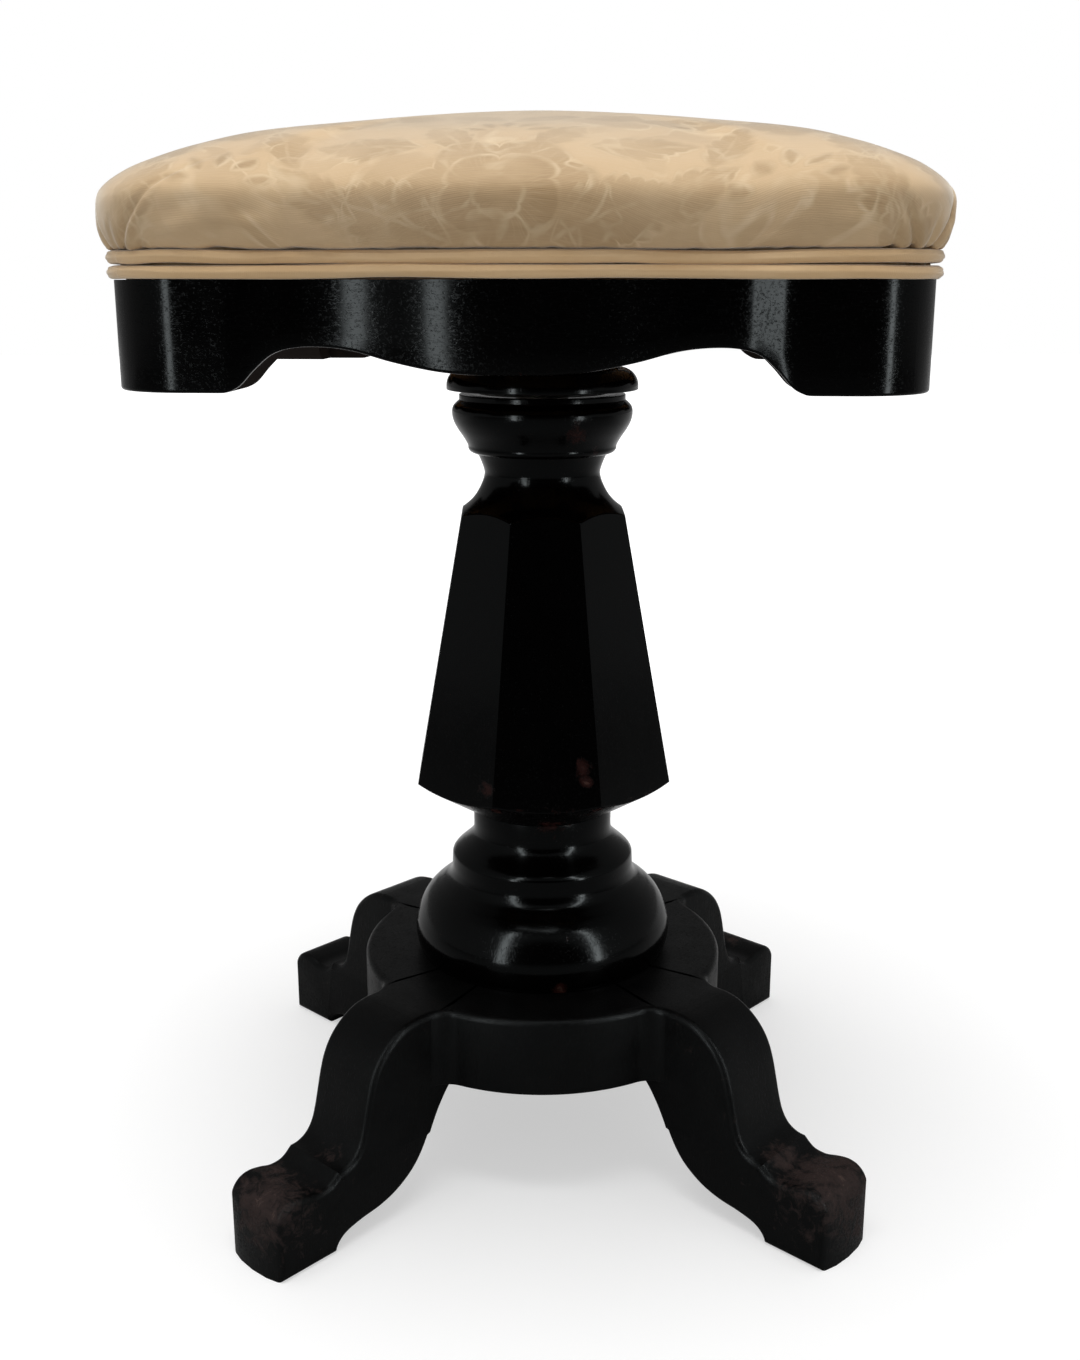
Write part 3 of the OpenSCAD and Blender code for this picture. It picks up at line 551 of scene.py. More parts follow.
def silk(name, figured, ground, figure_painted_shade=None, outline_painted_glint=None):
    """Woven silk, plain or with the damask figure."""
    finish, tree = new_finish(name)
    cloth = put(tree, "Attribute", attribute_name="cloth", out=1)
    slubs = put(tree, "Mapping", cloth, values={"Scale": [1 / SLUB_LENGTH, 1 / RIB, 1]})
    slubs = put(tree, "TexNoise", slubs, values={"Scale": 1.0, "Detail": 3.0, "Roughness": 0.6})
    ribs = put(tree, "Mapping", cloth, values={"Scale": [1 / RIB, 1 / RIB, 1]})
    ribs = put(tree, "TexWave", ribs, values={"Scale": 0.32, "Distortion": 1.2, "Detail": 1.0},
               bands_direction="Y")
    age = put(tree, "TexNoise", cloth, values={"Scale": 1 / AGE_PATCH, "Detail": 4.0, "Roughness": 0.55})
    shade = put(tree, "MixRGB", age, paint(ground[0]), paint(ground[1]))
    relief = put(tree, "Math", ribs, 0.35, operation="MULTIPLY")
    relief = put(tree, "Math", slubs, relief, operation="ADD")
    rough = put(tree, "MapRange", slubs, 0.3, 0.7, 0.66, 0.54)
    if figured:
        figure, outline = damask_figure(tree, cloth, *FIGURE_AT)
        # Wear and tension blur the figure here and there, and the outline more often.
        weave = put(tree, "Math", put(tree, "MapRange", slubs, 0.3, 0.7, 0.7, 1.0),
                    put(tree, "MapRange", age, 0.35, 0.6, 0.5, 1.0), operation="MULTIPLY")
        thread = put(tree, "TexNoise", cloth, values={"Scale": 1 / WORN_THREAD, "Detail": 2.0})
        thread = put(tree, "MapRange", thread, 0.42, 0.66, 0.08, 1.0)
        outline = put(tree, "Math", outline, weave, operation="MULTIPLY")
        outline = put(tree, "Math", outline, thread, operation="MULTIPLY")
        figure = put(tree, "Math", figure, weave, operation="MULTIPLY")
        # The satin is painted darker: painted shade for the dark room that it mirrors.
        shade = put(tree, "MixRGB", figure, shade, paint(figure_painted_shade))
        # The outline is painted paler: a painted glint on the threads that bind the figure.
        pale = put(tree, "Math", outline, OUTLINE_GLINT_SHARE, operation="MULTIPLY")
        shade = put(tree, "MixRGB", pale, shade, paint(outline_painted_glint))
        satin = put(tree, "Math", figure, SATIN_SMOOTHER, rough, operation="MULTIPLY_ADD")
        rough = put(tree, "Math", outline, 0.05, satin, operation="MULTIPLY_ADD")
        raised = put(tree, "Math", outline, 0.5, figure, operation="MULTIPLY_ADD")
        relief = put(tree, "Math", raised, 0.5, relief, operation="MULTIPLY_ADD")
    bumps = put(tree, "Bump", values={"Strength": 0.45, "Distance": 0.16 * MM}, sockets={"Height": relief})
    surface = put(tree, "BsdfPrincipled", sockets={"Base Color": shade, "Roughness": rough, "Normal": bumps},
                  values={"IOR": 1.54, "Specular IOR Level": 0.06, "Sheen Weight": 1.0,
                          "Sheen Roughness": 0.4, "Sheen Tint": paint("#FFFBF2")})
    put(tree, "OutputMaterial", surface)
    return finish


# After the ground come the satin's colour, painted darker as shade, and the outline's colour, painted lighter
# as a glint.
damask = silk("champagne_silk_damask", True, ("#CFB591", "#C1A37C"), "#A28661", "#E8D4B2")
# The cord's silk is painted lighter than the damask's ground: painted light against the shade under the
# cushion's swell.
plain_silk_painted_lighter = silk("plain_silk_cord_painted_lighter", False, ("#E6C9A0", "#C69F6E"))
print("nodes in the damask:", len(damask.node_tree.nodes))

# %% [markdown]
# Inside there are three more finishes. The screw and its plate are wrought iron, oiled
# and dark, so the metal is nearly black with a dull gloss. The bearer, the blocks and
# the board are planed pine, with growth rings about 3 mm apart, and the pegs are beech.
# None of them was finished for show, so their noise is coarse and their colours plain.

# %% Iron and pine
GRIME_PATCH = 9
OIL_SPECK = 1.2
RING_SPACING = 3.2
ALONG_GRAIN = 14


def oiled_iron():
    """Dark iron under old oil, brighter where it rubs."""
    finish, tree = new_finish("oiled_wrought_iron")
    place = put(tree, "TexCoord", out=3)
    grime = put(tree, "TexNoise", place,
                values={"Scale": 1000 / GRIME_PATCH, "Detail": 5.0, "Roughness": 0.6})
    speck = put(tree, "TexNoise", place, values={"Scale": 1000 / OIL_SPECK, "Detail": 2.0})
    rubbed = put(tree, "Attribute", attribute_name="wear", out=2)
    oily = put(tree, "MixRGB", grime, paint("#3B3834"), paint("#57504A"))
    colour = put(tree, "MixRGB", rubbed, oily, paint("#8C8880"))
    rough = put(tree, "MapRange", grime, 0.3, 0.7, 0.34, 0.52)
    bumps = put(tree, "Bump", values={"Strength": 0.4, "Distance": 0.08 * MM}, sockets={"Height": speck})
    surface = put(tree, "BsdfPrincipled", sockets={"Base Color": colour, "Roughness": rough, "Normal": bumps},
                  values={"Metallic": 1.0})
    put(tree, "OutputMaterial", surface)
    return finish


def planed_wood(name, early, late, grain_along):
    """Bare softwood or beech, with rings stretched along the grain."""
    finish, tree = new_finish(name)
    place = put(tree, "TexCoord", out=3)
    stretch = [1000 / (RING_SPACING * (ALONG_GRAIN if axis == grain_along else 1)) for axis in "xyz"]
    along = put(tree, "Mapping", place, values={"Scale": stretch})
    rings = put(tree, "TexNoise", along, values={"Scale": 0.55, "Detail": 2.0, "Distortion": 0.8})
    bands = put(tree, "TexWave", along, values={"Scale": 0.16, "Distortion": 5.0, "Detail": 2.0},
                wave_profile="SAW")
    both = put(tree, "Math", rings, bands, operation="MULTIPLY")
    colour = put(tree, "MixRGB", both, paint(early), paint(late))
    bumps = put(tree, "Bump", values={"Strength": 0.25, "Distance": 0.1 * MM}, sockets={"Height": both})
    surface = put(tree, "BsdfPrincipled", sockets={"Base Color": colour, "Normal": bumps},
                  values={"Roughness": 0.62, "Specular IOR Level": 0.3, "IOR": 1.5})
    put(tree, "OutputMaterial", surface)
    return finish


iron = oiled_iron()
pine = planed_wood("planed_pine", "#A77C4C", "#6F4625", "y")
beech = planed_wood("beech_pegs", "#B98B5C", "#8F6238", "z")
print("inside:", iron.name, pine.name, beech.name)

# %% [markdown]
# Pieces whose solid is right keep it and only take their finish: the iron parts that
# stay out of sight, and the bare wood inside the seat.

# %% Finishes for the working model's own pieces
KEPT = {
    iron: ("screw_nut", "nut_screws", "stop_washer", "stop_bolt", "seat_plate", "boss_screws", "plate_screws",
           "board_screws"),
    pine: ("seat_bearer", "corner_blocks", "seat_board"),
    beech: ("leg_dowels", "tenon_wedge"),
}
for finish, names in KEPT.items():
    for name in names:
        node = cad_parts[name]
        node.data.materials.clear()
        node.data.materials.append(finish)
print("kept solids:", sum(len(names) for names in KEPT.values()))

# %% [markdown]
# Every new piece is a list of points in millimetres and a list of faces. One function makes the mesh, gives
# it its values for wear and cloth, its finish and its body, and hides the solids of the working model that it
# stands for. Modifiers could do some of the shaping, but plain points keep every size in sight.

# %% Making a piece


def face_outward(mesh):
    """Turns the faces of a closed mesh to the outside."""
    work = bmesh.new()
    work.from_mesh(mesh)
    bmesh.ops.recalc_face_normals(work, faces=work.faces)
    work.to_mesh(mesh)
    work.free()


def piece(name, points, faces, finish, body, slot, nodes, sharp=38, **values):
    """Adds a mesh that rides on a body and replaces nodes of the working model."""
    mesh = bpy.data.meshes.new(name)
    points = np.asarray(points, float)
    mesh.from_pydata((points * MM).tolist(), [], [list(map(int, face)) for face in faces])
    face_outward(mesh)
    for key, data in values.items():
        data = np.asarray(data, np.float32)
        layer = mesh.attributes.new(key, "FLOAT_VECTOR" if data.ndim == 2 else "FLOAT", "POINT")
        layer.data.foreach_set("vector" if data.ndim == 2 else "value", data.ravel())
    mesh.materials.append(finish)
    mesh.shade_smooth()
    mesh.set_sharp_from_angle(angle=math.radians(sharp))
    made = bpy.data.objects.new(name, mesh)
    scene.collection.objects.link(made)
    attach(made, body)
    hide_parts(*nodes)
    low, high = points.min(0), points.max(0)
    print(f"{name}: {len(points)} points, {np.round(high - low, 1)} mm")
    return made


print("pieces are drawn in mm and scaled by", MM)

# %% [markdown]
# Most pieces here are sheets of points, stored row by row, whose rows follow a drawn
# line. So three small helpers serve them all: one joins the points of a sheet into
# faces, one draws a smooth line through a few marks, and one says how rubbed each
# point is.

# %% Sheets, smooth lines and rubbed spots


def grid(rows, columns, close_rows=False, close_columns=False):
    """Faces of a sheet of points that are stored row by row."""
    down = rows if close_rows else rows - 1
    over = columns if close_columns else columns - 1
    i, j = np.meshgrid(np.arange(down), np.arange(over), indexing="ij")
    a = i * columns + j
    b = i * columns + (j + 1) % columns
    c = ((i + 1) % rows) * columns + (j + 1) % columns
    d = ((i + 1) % rows) * columns + j
    return np.stack([a, b, c, d], -1).reshape(-1, 4).tolist()


def smooth_run(marks, steps):
    """A smooth curve through a few marks, with so many steps between two of them."""
    marks = np.asarray(marks, float)
    ends = np.vstack([marks[:1], marks, marks[-1:]])
    t = np.arange(steps)[:, None] / steps
    runs = []
    for a, b, c, d in zip(ends, ends[1:], ends[2:], ends[3:]):
        runs.append((2 * b + (c - a) * t + (2 * a - 5 * b + 4 * c - d) * t ** 2
                     + (3 * b - a - 3 * c + d) * t ** 3) / 2)
    return np.vstack(runs + [marks[-1:]])


def spots(points, places):
    """Rubbed spots: each place is x, y, z, its reach and its strength."""
    points = np.asarray(points, float)
    total = np.zeros(len(points))
    for x, y, z, reach, strength_here in places:
        away = np.linalg.norm(points - (x, y, z), axis=1)
        total = np.maximum(total, strength_here * np.exp(-(away / reach) ** 2))
    return total


print("a sheet of 3 by 4 points has", len(grid(3, 4)), "faces")

# %% [markdown]
# The column was turned on a lathe, so its base moulding, its capital and the boss
# under the seat are profiles swept round the axis. A profile is a closed run of
# radius and height. A screw modifier would sweep it too, but plain points leave each
# one a place for its wear. Turned arrises are eased with glasspaper, so no corner is
# quite sharp, and light breaks on each of them.

# %% Turned pieces
TURN_STEPS = 168
EASE = 0.5
NEARLY_STRAIGHT = 0.06


def eased(profile, reach):
    """The profile with each corner rounded over by a short arc."""
    profile = np.asarray(profile, float)
    out = []
    for i, point in enumerate(profile):
        before = profile[i - 1] - point
        after = profile[(i + 1) % len(profile)] - point
        long = min(np.linalg.norm(before), np.linalg.norm(after))
        bend = 1 - abs(np.dot(before, after)) / max(np.linalg.norm(before) * np.linalg.norm(after), 1e-9)
        if bend < NEARLY_STRAIGHT or long < 1e-6:
            out.append(point)
            continue
        cut = min(reach, long * 0.45)
        start = point + before / np.linalg.norm(before) * cut
        end = point + after / np.linalg.norm(after) * cut
        out.extend((1 - t) ** 2 * start + 2 * t * (1 - t) * point + t ** 2 * end for t in (0, 0.33, 0.67, 1))
    return np.array(out)


def turned(name, profile, body, nodes, finish, places=()):
    """A turned piece with its rubbed places."""
    profile = eased(profile, EASE)
    around = np.linspace(0, math.tau, TURN_STEPS, endpoint=False)
    points = np.stack([np.outer(np.cos(around), profile[:, 0]), np.outer(np.sin(around), profile[:, 0]),
                       np.tile(profile[:, 1], (TURN_STEPS, 1))], -1).reshape(-1, 3)
    return piece(name, points, grid(TURN_STEPS, len(profile), True, True), finish, body, "ebonised_wood",
                 nodes, wear=spots(points, places))


print("steps round a turned piece:", TURN_STEPS)

# %% [markdown]
# The base moulding carries the column on the platform. It is a fat roll at the foot,
# then a smaller one, then a short neck up to the shaft. Its marks are shares of its
# widest radius and of its height.

# %% The base moulding
low, high = [np.array(c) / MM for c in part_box("column_base")]
FOOT_Z = low[2]
MOULD_R = high[0]
MOULD_H = high[2] - low[2]
TORUS = [(0.974, 0.03), (0.99, 0.066), (1, 0.125), (0.998, 0.18), (0.983, 0.24), (0.951, 0.312),
         (0.905, 0.378), (0.852, 0.425), (0.812, 0.452), (0.78, 0.474), (0.745, 0.499), (0.721, 0.528),
         (0.708, 0.567), (0.7045, 0.613), (0.7015, 0.669)]
COLLAR = [(0.697, 0.68), (0.678, 0.7), (0.639, 0.73), (0.585, 0.773), (0.5455, 0.817), (0.534, 0.856),
          (0.5335, 0.916)]
PLINTH = 0.968
PLINTH_H = 0.02
TENON_R = 17.1
# The neck runs a little up into the shaft's cone, so that no gap shows between them.
INTO_CONE = 0.6
base_profile = np.vstack([
    [(TENON_R, 0), (PLINTH * MOULD_R, 0), (PLINTH * MOULD_R, PLINTH_H * MOULD_H)],
    smooth_run(TORUS, 5) * (MOULD_R, MOULD_H),
    smooth_run(COLLAR, 5) * (MOULD_R, MOULD_H),
    [(COLLAR[-1][0] * MOULD_R, MOULD_H + INTO_CONE), (TENON_R, MOULD_H + INTO_CONE)]]) + (0, FOOT_Z)
turned("base_moulding", base_profile, "base", ["column_base"], polished_column,
       places=[(12, -62, 122, 12, 0.42), (2, -36, 176, 9, 0.66), (8, -35, 172, 12, 0.5),
               (7, -65, 101, 5, 0.85), (-18, -46, 150, 5, 0.4)])

# %% [markdown]
# The capital sits on the shaft's spigot and holds the iron nut in its top. It swells
# from a thin bead to a round shoulder, just under the boss of the seat at its lowest.

# %% The capital
low, high = [np.array(c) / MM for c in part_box("column_capital")]
CAPITAL_R = high[0]
CAPITAL_H = high[2] - low[2]
NECK_Z = low[2]
SPIGOT_R = 23.05
FLANGE_R = 30.05
FLANGE_T = 4
CAPITAL = [(0.757, 0), (0.8, 0.03), (0.823, 0.08), (0.828, 0.14), (0.87, 0.26), (0.94, 0.42), (0.985, 0.56),
           (1, 0.7), (0.985, 0.8), (0.945, 0.87)]
CAPITAL_LIP = 0.92
LIP_FROM = 0.9
capital_profile = np.vstack([
    [(SPIGOT_R, 0)], smooth_run(CAPITAL, 5) * (CAPITAL_R, CAPITAL_H),
    [(CAPITAL_LIP * CAPITAL_R, LIP_FROM * CAPITAL_H), (CAPITAL_LIP * CAPITAL_R, CAPITAL_H),
     (FLANGE_R, CAPITAL_H), (FLANGE_R, CAPITAL_H - FLANGE_T), (SPIGOT_R, CAPITAL_H - FLANGE_T)],
]) + (0, NECK_Z)
turned("capital", capital_profile, "base", ["column_capital"], polished_column,
       places=[(14, -39, 366, 13, 0.55), (22, -26, 355, 9, 0.5)])

# %% [markdown]
# The boss is a turned disc between the screw's plate and the capital. It turns with
# the seat. Four screw heads lie flush in its underside, so here the wood stops a hair
# above them, and they show.

# %% The boss
low, high = [np.array(c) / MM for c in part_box("seat_boss")]
BOSS_R = high[0]
BOSS_Z = low[2]
BOSS_TOP = high[2]
LIP = 2
ROUND = 8.5
SCREW_HOLE = 12.8
HEAD_PROUD = 0.15
over = np.radians(np.linspace(0, 90, 10))
boss_profile = np.vstack([
    [(SCREW_HOLE, BOSS_Z + HEAD_PROUD), (BOSS_R, BOSS_Z + HEAD_PROUD)],
    np.stack([BOSS_R - ROUND + ROUND * np.cos(over), BOSS_Z + LIP + ROUND * np.sin(over)], -1),
    [(BOSS_R - ROUND, BOSS_TOP), (SCREW_HOLE, BOSS_TOP)]])
turned("boss", boss_profile, "seat", ["seat_boss"], polished_column)

# %% [markdown]
# The shaft was first turned and then planed to eight tapering flats. The turned neck
# and the cone under the flats cut them in curves. Cutting solids from each other would
# do it too, but leaves ragged meshes. Here each point lies at the lesser of two
# distances from the axis, that of the turned blank and that of the nearest flat, and
# a soft minimum eases the arrises by a hair.

# %% The shaft's blank and its flats
ARRIS = 0.15
SHAFT_STEPS = 256
low, high = [np.array(c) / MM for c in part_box("column_shaft")]
PLATFORM_Z = low[2]
SHAFT_Z = FOOT_Z + MOULD_H
SHAFT_H = NECK_Z - SHAFT_Z
FLAT_TOP = 39.2
FLAT_FOOT = 62.9
NECK_R = 31.5
NECK_H = 28
CONE_H = 16.7
FOOT_R = 35.2
NO_BLANK = 200
FLATS = 8
# The rings lie closer together from here to the cone, and from here to the neck.
ABOVE_CONE = 4
BELOW_NECK = 12
NECK = [(1, 0), (0.95, 0.12), (0.9, 0.28), (0.895, 0.38), (0.94, 0.54), (1.04, 0.74), (1.18, 0.9),
        (1.4, 1.07)]


def soft_min(a, b, width):
    """The lesser of two values, blended where they are within a width of each other."""
    near = np.maximum(width - np.abs(a - b), 0) / width
    return np.minimum(a, b) - near * near * width / 4


plain_from = CONE_H + ABOVE_CONE
plain_to = SHAFT_H - NECK_H - BELOW_NECK
heights = np.concatenate([np.linspace(0, plain_from, 60, endpoint=False),
                          np.linspace(plain_from, plain_to, 60, endpoint=False),
                          np.linspace(plain_to, SHAFT_H, 90)])
neck_line = smooth_run(NECK, 6) * (NECK_R, NECK_H)
blank = np.interp(SHAFT_H - heights, neck_line[:, 1], neck_line[:, 0], right=NO_BLANK)
cone = FOOT_R + heights * (FLAT_FOOT - FOOT_R) / CONE_H
blank = np.minimum(np.where(heights < SHAFT_H / 2, cone, blank), NO_BLANK)
slope = (FLAT_FOOT - FLAT_TOP) / (SHAFT_H - NECK_H - CONE_H)
flat = FLAT_FOOT - slope * (heights - CONE_H)
around = np.linspace(0, math.tau, SHAFT_STEPS, endpoint=False)
from_flat = (around + math.radians(90)) % math.radians(45)
near_side = np.minimum(from_flat, math.radians(45) - from_flat)
far_side = math.radians(45) - near_side
facets = soft_min(np.outer(flat, 1 / np.cos(near_side)), np.outer(flat, 1 / np.cos(far_side)), ARRIS)
radius = soft_min(facets, np.tile(blank[:, None], (1, SHAFT_STEPS)), ARRIS)
print("shaft:", round(SHAFT_H, 1), "mm, flats", FLAT_FOOT, "to", FLAT_TOP, "mm from the axis")

# %% [markdown]
# The radii become rings of points. The tenon below and the spigot above are plain, and
# stop short of what shows. Wear lies along the arrises, on the edge above the cone and
# where the photo shows rubbed spots.

# %% The eight-sided shaft
ARRIS_WEAR = 0.2
ARRIS_REACH = 2.2
CONE_WEAR = 0.38
CONE_REACH = 2.5
SPIGOT_H = 10
TENON_SHORT = 0.4
TENON_PLAY = 0.1
SPIGOT_PLAY = 0.05
# A ring as small as this closes the end of a sheet.
CLOSED = 0.5


def level_ring(radius, around, z):
    """A ring of points at one height; the radius may change on the way round."""
    return np.stack([radius * np.cos(around), radius * np.sin(around), np.full(len(around), z)], -1)


rows = [level_ring(r, around, z) for r, z in zip(radius, heights + SHAFT_Z)]
tenon = [(CLOSED, PLATFORM_Z + TENON_SHORT), (TENON_R - TENON_PLAY, PLATFORM_Z + TENON_SHORT),
         (TENON_R - TENON_PLAY, SHAFT_Z)]
lower = [level_ring(r, around, z) for r, z in tenon]
spigot_top = SHAFT_Z + SHAFT_H + SPIGOT_H
spigot = [(SPIGOT_R - SPIGOT_PLAY, SHAFT_Z + SHAFT_H), (SPIGOT_R - SPIGOT_PLAY, spigot_top),
          (CLOSED, spigot_top)]
upper = [level_ring(r, around, z) for r, z in spigot]
shaft_rows = lower + rows + upper
shaft_points = np.vstack(shaft_rows)
outside = slice(len(lower) * SHAFT_STEPS, (len(lower) + len(rows)) * SHAFT_STEPS)
arris = np.abs(np.degrees(near_side) - 22.5) < ARRIS_REACH
cone_edge = np.abs(heights - CONE_H) < CONE_REACH
edge_wear = np.zeros(len(shaft_points))
edge_wear[outside] = (CONE_WEAR * np.outer(cone_edge, np.ones(SHAFT_STEPS))
                      + ARRIS_WEAR * np.outer(np.ones(len(rows)), arris)).ravel()
shaft_wear = np.maximum(edge_wear, spots(shaft_points, [
    (-28, -56, 202, 8, 0.62), (17, -60, 213, 7, 0.68), (19, -61, 206, 5, 0.72), (2, -61, 192, 12, 0.46),
    (2, -40, 181, 10, 0.74), (3, -39, 180, 3, 0.95), (20, -52, 189, 12, 0.46), (-2, -60, 216, 7, 0.42),
    (14, -29, 350, 8, 0.45)]))
shaft = piece("shaft", shaft_points, grid(len(shaft_rows), SHAFT_STEPS, False, True), polished_column,
              "base", "ebonised_wood", ["column_shaft"], sharp=60, wear=shaft_wear)

# %% [markdown]
# The plane left the arrises between the flats crisp, so light breaks there. The turned
# neck and the cone have none. Marking edges as sharp keeps the flats flat to the eye.

# %% The shaft's crisp arrises
per_flat = SHAFT_STEPS // FLATS
on_arris = np.arange(SHAFT_STEPS) % per_flat == per_flat // 2
crisp = np.zeros(len(shaft_points), bool)
crisp[outside] = (on_arris & (facets < blank[:, None])).ravel()
for edge in shaft.data.edges:
    if crisp[edge.vertices[0]] and crisp[edge.vertices[1]]:
        edge.use_edge_sharp = True
print("crisp points:", int(crisp.sum()))

# %% [markdown]
# The platform is sawn from a thick board, with a bow on each side and a hollow corner
# beside each leg. Only half of one side is drawn, from the middle of the front to the
# leg. The rest is that half mirrored and turned, so all four sides agree.

# %% The platform's outline
low, high = [np.array(c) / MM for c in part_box("platform")]
PLATFORM_TOP = high[2]
BOW = 92.5
BOW_R = 95
HOLLOW_CORNER = 12
LEG_ROOT = 84
LEG_W = 39


def front_arc(centre, radius, start, end, steps):
    """Points of an arc whose angle is counted from the front."""
    turn = np.linspace(start, end, steps + 1)
    return np.array(centre) + radius * np.stack([np.sin(turn), -np.cos(turn)], -1)


def quarter_turned(points, quarters):
    """Points turned by a number of quarter turns."""
    c, s = [(1, 0), (0, 1), (-1, 0), (0, -1)][quarters % 4]
    return points @ np.array([[c, s], [-s, c]])


corner_sum = -math.sqrt(2) * (LEG_W / 2 + HOLLOW_CORNER)
bow_y = BOW_R - BOW
gap = corner_sum - bow_y
corner_x = (gap + math.sqrt(2 * (BOW_R + HOLLOW_CORNER) ** 2 - gap * gap)) / 2
hollow_at = (corner_x, corner_sum - corner_x)
meet = math.atan2(corner_x, bow_y - hollow_at[1])
CORNER_REACH = (hollow_at[0] - hollow_at[1]) / math.sqrt(2)
half = np.vstack([
    front_arc((0, bow_y), BOW_R, 0, meet, 26),
    front_arc(hollow_at, -HOLLOW_CORNER, meet, -math.pi / 4, 30)[1:]])
print("half a side:", len(half), "points, corner", round(CORNER_REACH, 1), "mm from the axis")

# %% [markdown]
# Its legs are housed in it, and the top edge of both was rounded over in one go after
# gluing, so the rounding runs from one piece to the next. A bevel modifier would round
# each piece by itself and leave a notch. So the outline is repeated at a few heights,
# each drawn in a little more. Where it would be drawn into a leg it stops at the leg's
# side, so first each point gets its own room.

# %% Room for the rounding
TOP_ROUND = 3.2
# Below this share a point isn't drawn towards the leg, and then nothing limits it.
SLIGHT = 0.02
NO_LIMIT = 99


def rounded(inset, reach):
    """How far a rounded edge has dropped at a distance in from the outline."""
    return reach * (1 - np.sqrt(np.maximum(1 - (1 - np.clip(inset / reach, 0, 1)) ** 2, 0)))


along_leg = (half[:, 0] - half[:, 1]) / math.sqrt(2)
off_leg = -(half[:, 0] + half[:, 1]) / math.sqrt(2) - LEG_W / 2
ahead = np.gradient(half, axis=0)
inward = np.stack([-ahead[:, 1], ahead[:, 0]], -1) / np.linalg.norm(ahead, axis=1)[:, None]
towards_leg = inward @ np.array([1, 1]) / math.sqrt(2)
room = np.where(towards_leg > SLIGHT, off_leg / np.maximum(towards_leg, SLIGHT), NO_LIMIT)
meets_wall = room < TOP_ROUND
wall_x = np.interp(TOP_ROUND, room[::-1], along_leg[::-1])
wall_start = np.array([wall_x - LEG_W / 2, -wall_x - LEG_W / 2]) / math.sqrt(2)
wall_root = np.array([LEG_ROOT - LEG_W / 2, -LEG_ROOT - LEG_W / 2]) / math.sqrt(2)
print("points that stop at a leg:", int(meets_wall.sum()))

# %% [markdown]
# Each ring follows the outline, then runs along the side of the housing to the leg's
# root. The rings step round the lower edge, up the side and round the upper edge, and
# the mortise for the column's tenon closes the sheet in the middle.

# %% The platform
UNDER_ROUND = 1.6
ROUND_STEPS = 7
# How rubbed each ring is, from the mortise below to the mortise above.
RING_WEAR = [0.05] + [0.12] * ROUND_STEPS + [0.16] + [0.28] * (ROUND_STEPS - 1) + [0.2, 0.1]


def with_wall(ring, heights, z):
    """Half a side with its heights, run on along the side of the housing."""
    return np.vstack([np.column_stack([ring, heights]), [[*wall_start, z], [*wall_root, z]]])


def all_round(right):
    """Half a side mirrored and turned to a whole ring."""
    side = np.vstack([right[:0:-1] * (-1, 1, 1), right])
    return np.vstack([np.column_stack([quarter_turned(side[:, :2], q), side[:, 2]]) for q in range(4)])


def platform_ring(inset, z, drop_reach, upward):
    """One ring of the platform's rounded edge, drawn in by an inset."""
    inset = np.minimum(inset, room)
    ring = half + inward * inset[:, None]
    return all_round(with_wall(ring, z + upward * rounded(inset, drop_reach), z))


flat_ring = np.where(meets_wall[:, None], wall_start, half + inward * TOP_ROUND)
top_ring = all_round(with_wall(flat_ring, np.full(len(half), PLATFORM_TOP), PLATFORM_TOP))
bore = top_ring[:, :2] / np.linalg.norm(top_ring[:, :2], axis=1)[:, None] * TENON_R
curve = 1 - np.cos(np.radians(np.linspace(0, 90, ROUND_STEPS)))
levels = [np.column_stack([bore, np.full(len(bore), PLATFORM_Z)])]
levels += [platform_ring(UNDER_ROUND * c, PLATFORM_Z, UNDER_ROUND, 1) for c in curve[::-1]]
levels += [platform_ring(TOP_ROUND * c, PLATFORM_TOP, TOP_ROUND, -1) for c in curve]
levels += [top_ring, np.column_stack([bore, np.full(len(bore), PLATFORM_TOP)])]
platform_points = np.vstack(levels)
platform_wear = np.maximum(np.repeat(RING_WEAR, len(bore)), spots(platform_points, [
    (6, -92, 73, 4, 0.8), (60, -50, 98, 20, 0.28), (80, 20, 98, 18, 0.3), (-2, -80, 99, 5, 0.6)]))
piece("platform_board", platform_points, grid(len(levels), len(bore), True, True), handled_base, "base",
      "ebonised_wood", ["platform"], wear=platform_wear)

# %% [markdown]
# A scroll leg is cut from a plank with a bow saw along one profile, and tapered in
# plan towards the foot. A subdivided block could be pulled to this shape, but would
# only come near its outline, so the profile is drawn. It starts in the housing, runs
# down the leg's back and over the foot, and returns under the leg. Its marks are
# shares of the leg's reach and of its height.

# %% The profile of a scroll leg
LEG_END = 193
HEEL = 0.69
HOUSING_LEAD = 1
BACK = [(0.204, 1), (0.269, 0.987), (0.324, 0.96), (0.38, 0.916), (0.424, 0.863), (0.458, 0.797),
        (0.481, 0.721), (0.5, 0.635), (0.519, 0.548), (0.54, 0.48), (0.572, 0.432), (0.615, 0.408),
        (0.657, 0.404)]
FOOT_BACK = [(0.68, 0.382), (0.713, 0.361), (0.769, 0.358), (0.824, 0.375), (0.88, 0.386), (0.926, 0.376),
             (0.961, 0.345), (0.981, 0.299), (0.987, 0.244), (0.993, 0.152), (0.998, 0.061)]
UNDER = [(0.685, 0.02), (0.666, 0.077), (0.625, 0.128), (0.542, 0.165), (0.449, 0.188), (0.369, 0.229),
         (0.302, 0.291), (0.244, 0.37), (0.2, 0.462), (0.162, 0.575), (0.133, 0.684), (0.1, 0.793),
         (0.062, 0.894), (0.026, 0.97), (0, 1)]
reach = LEG_END - LEG_ROOT
housing = np.concatenate([[LEG_ROOT], np.linspace(wall_x - HOUSING_LEAD, CORNER_REACH, 9)])
under_line = smooth_run(UNDER, 5) * (reach, PLATFORM_Z) + (LEG_ROOT, 0)
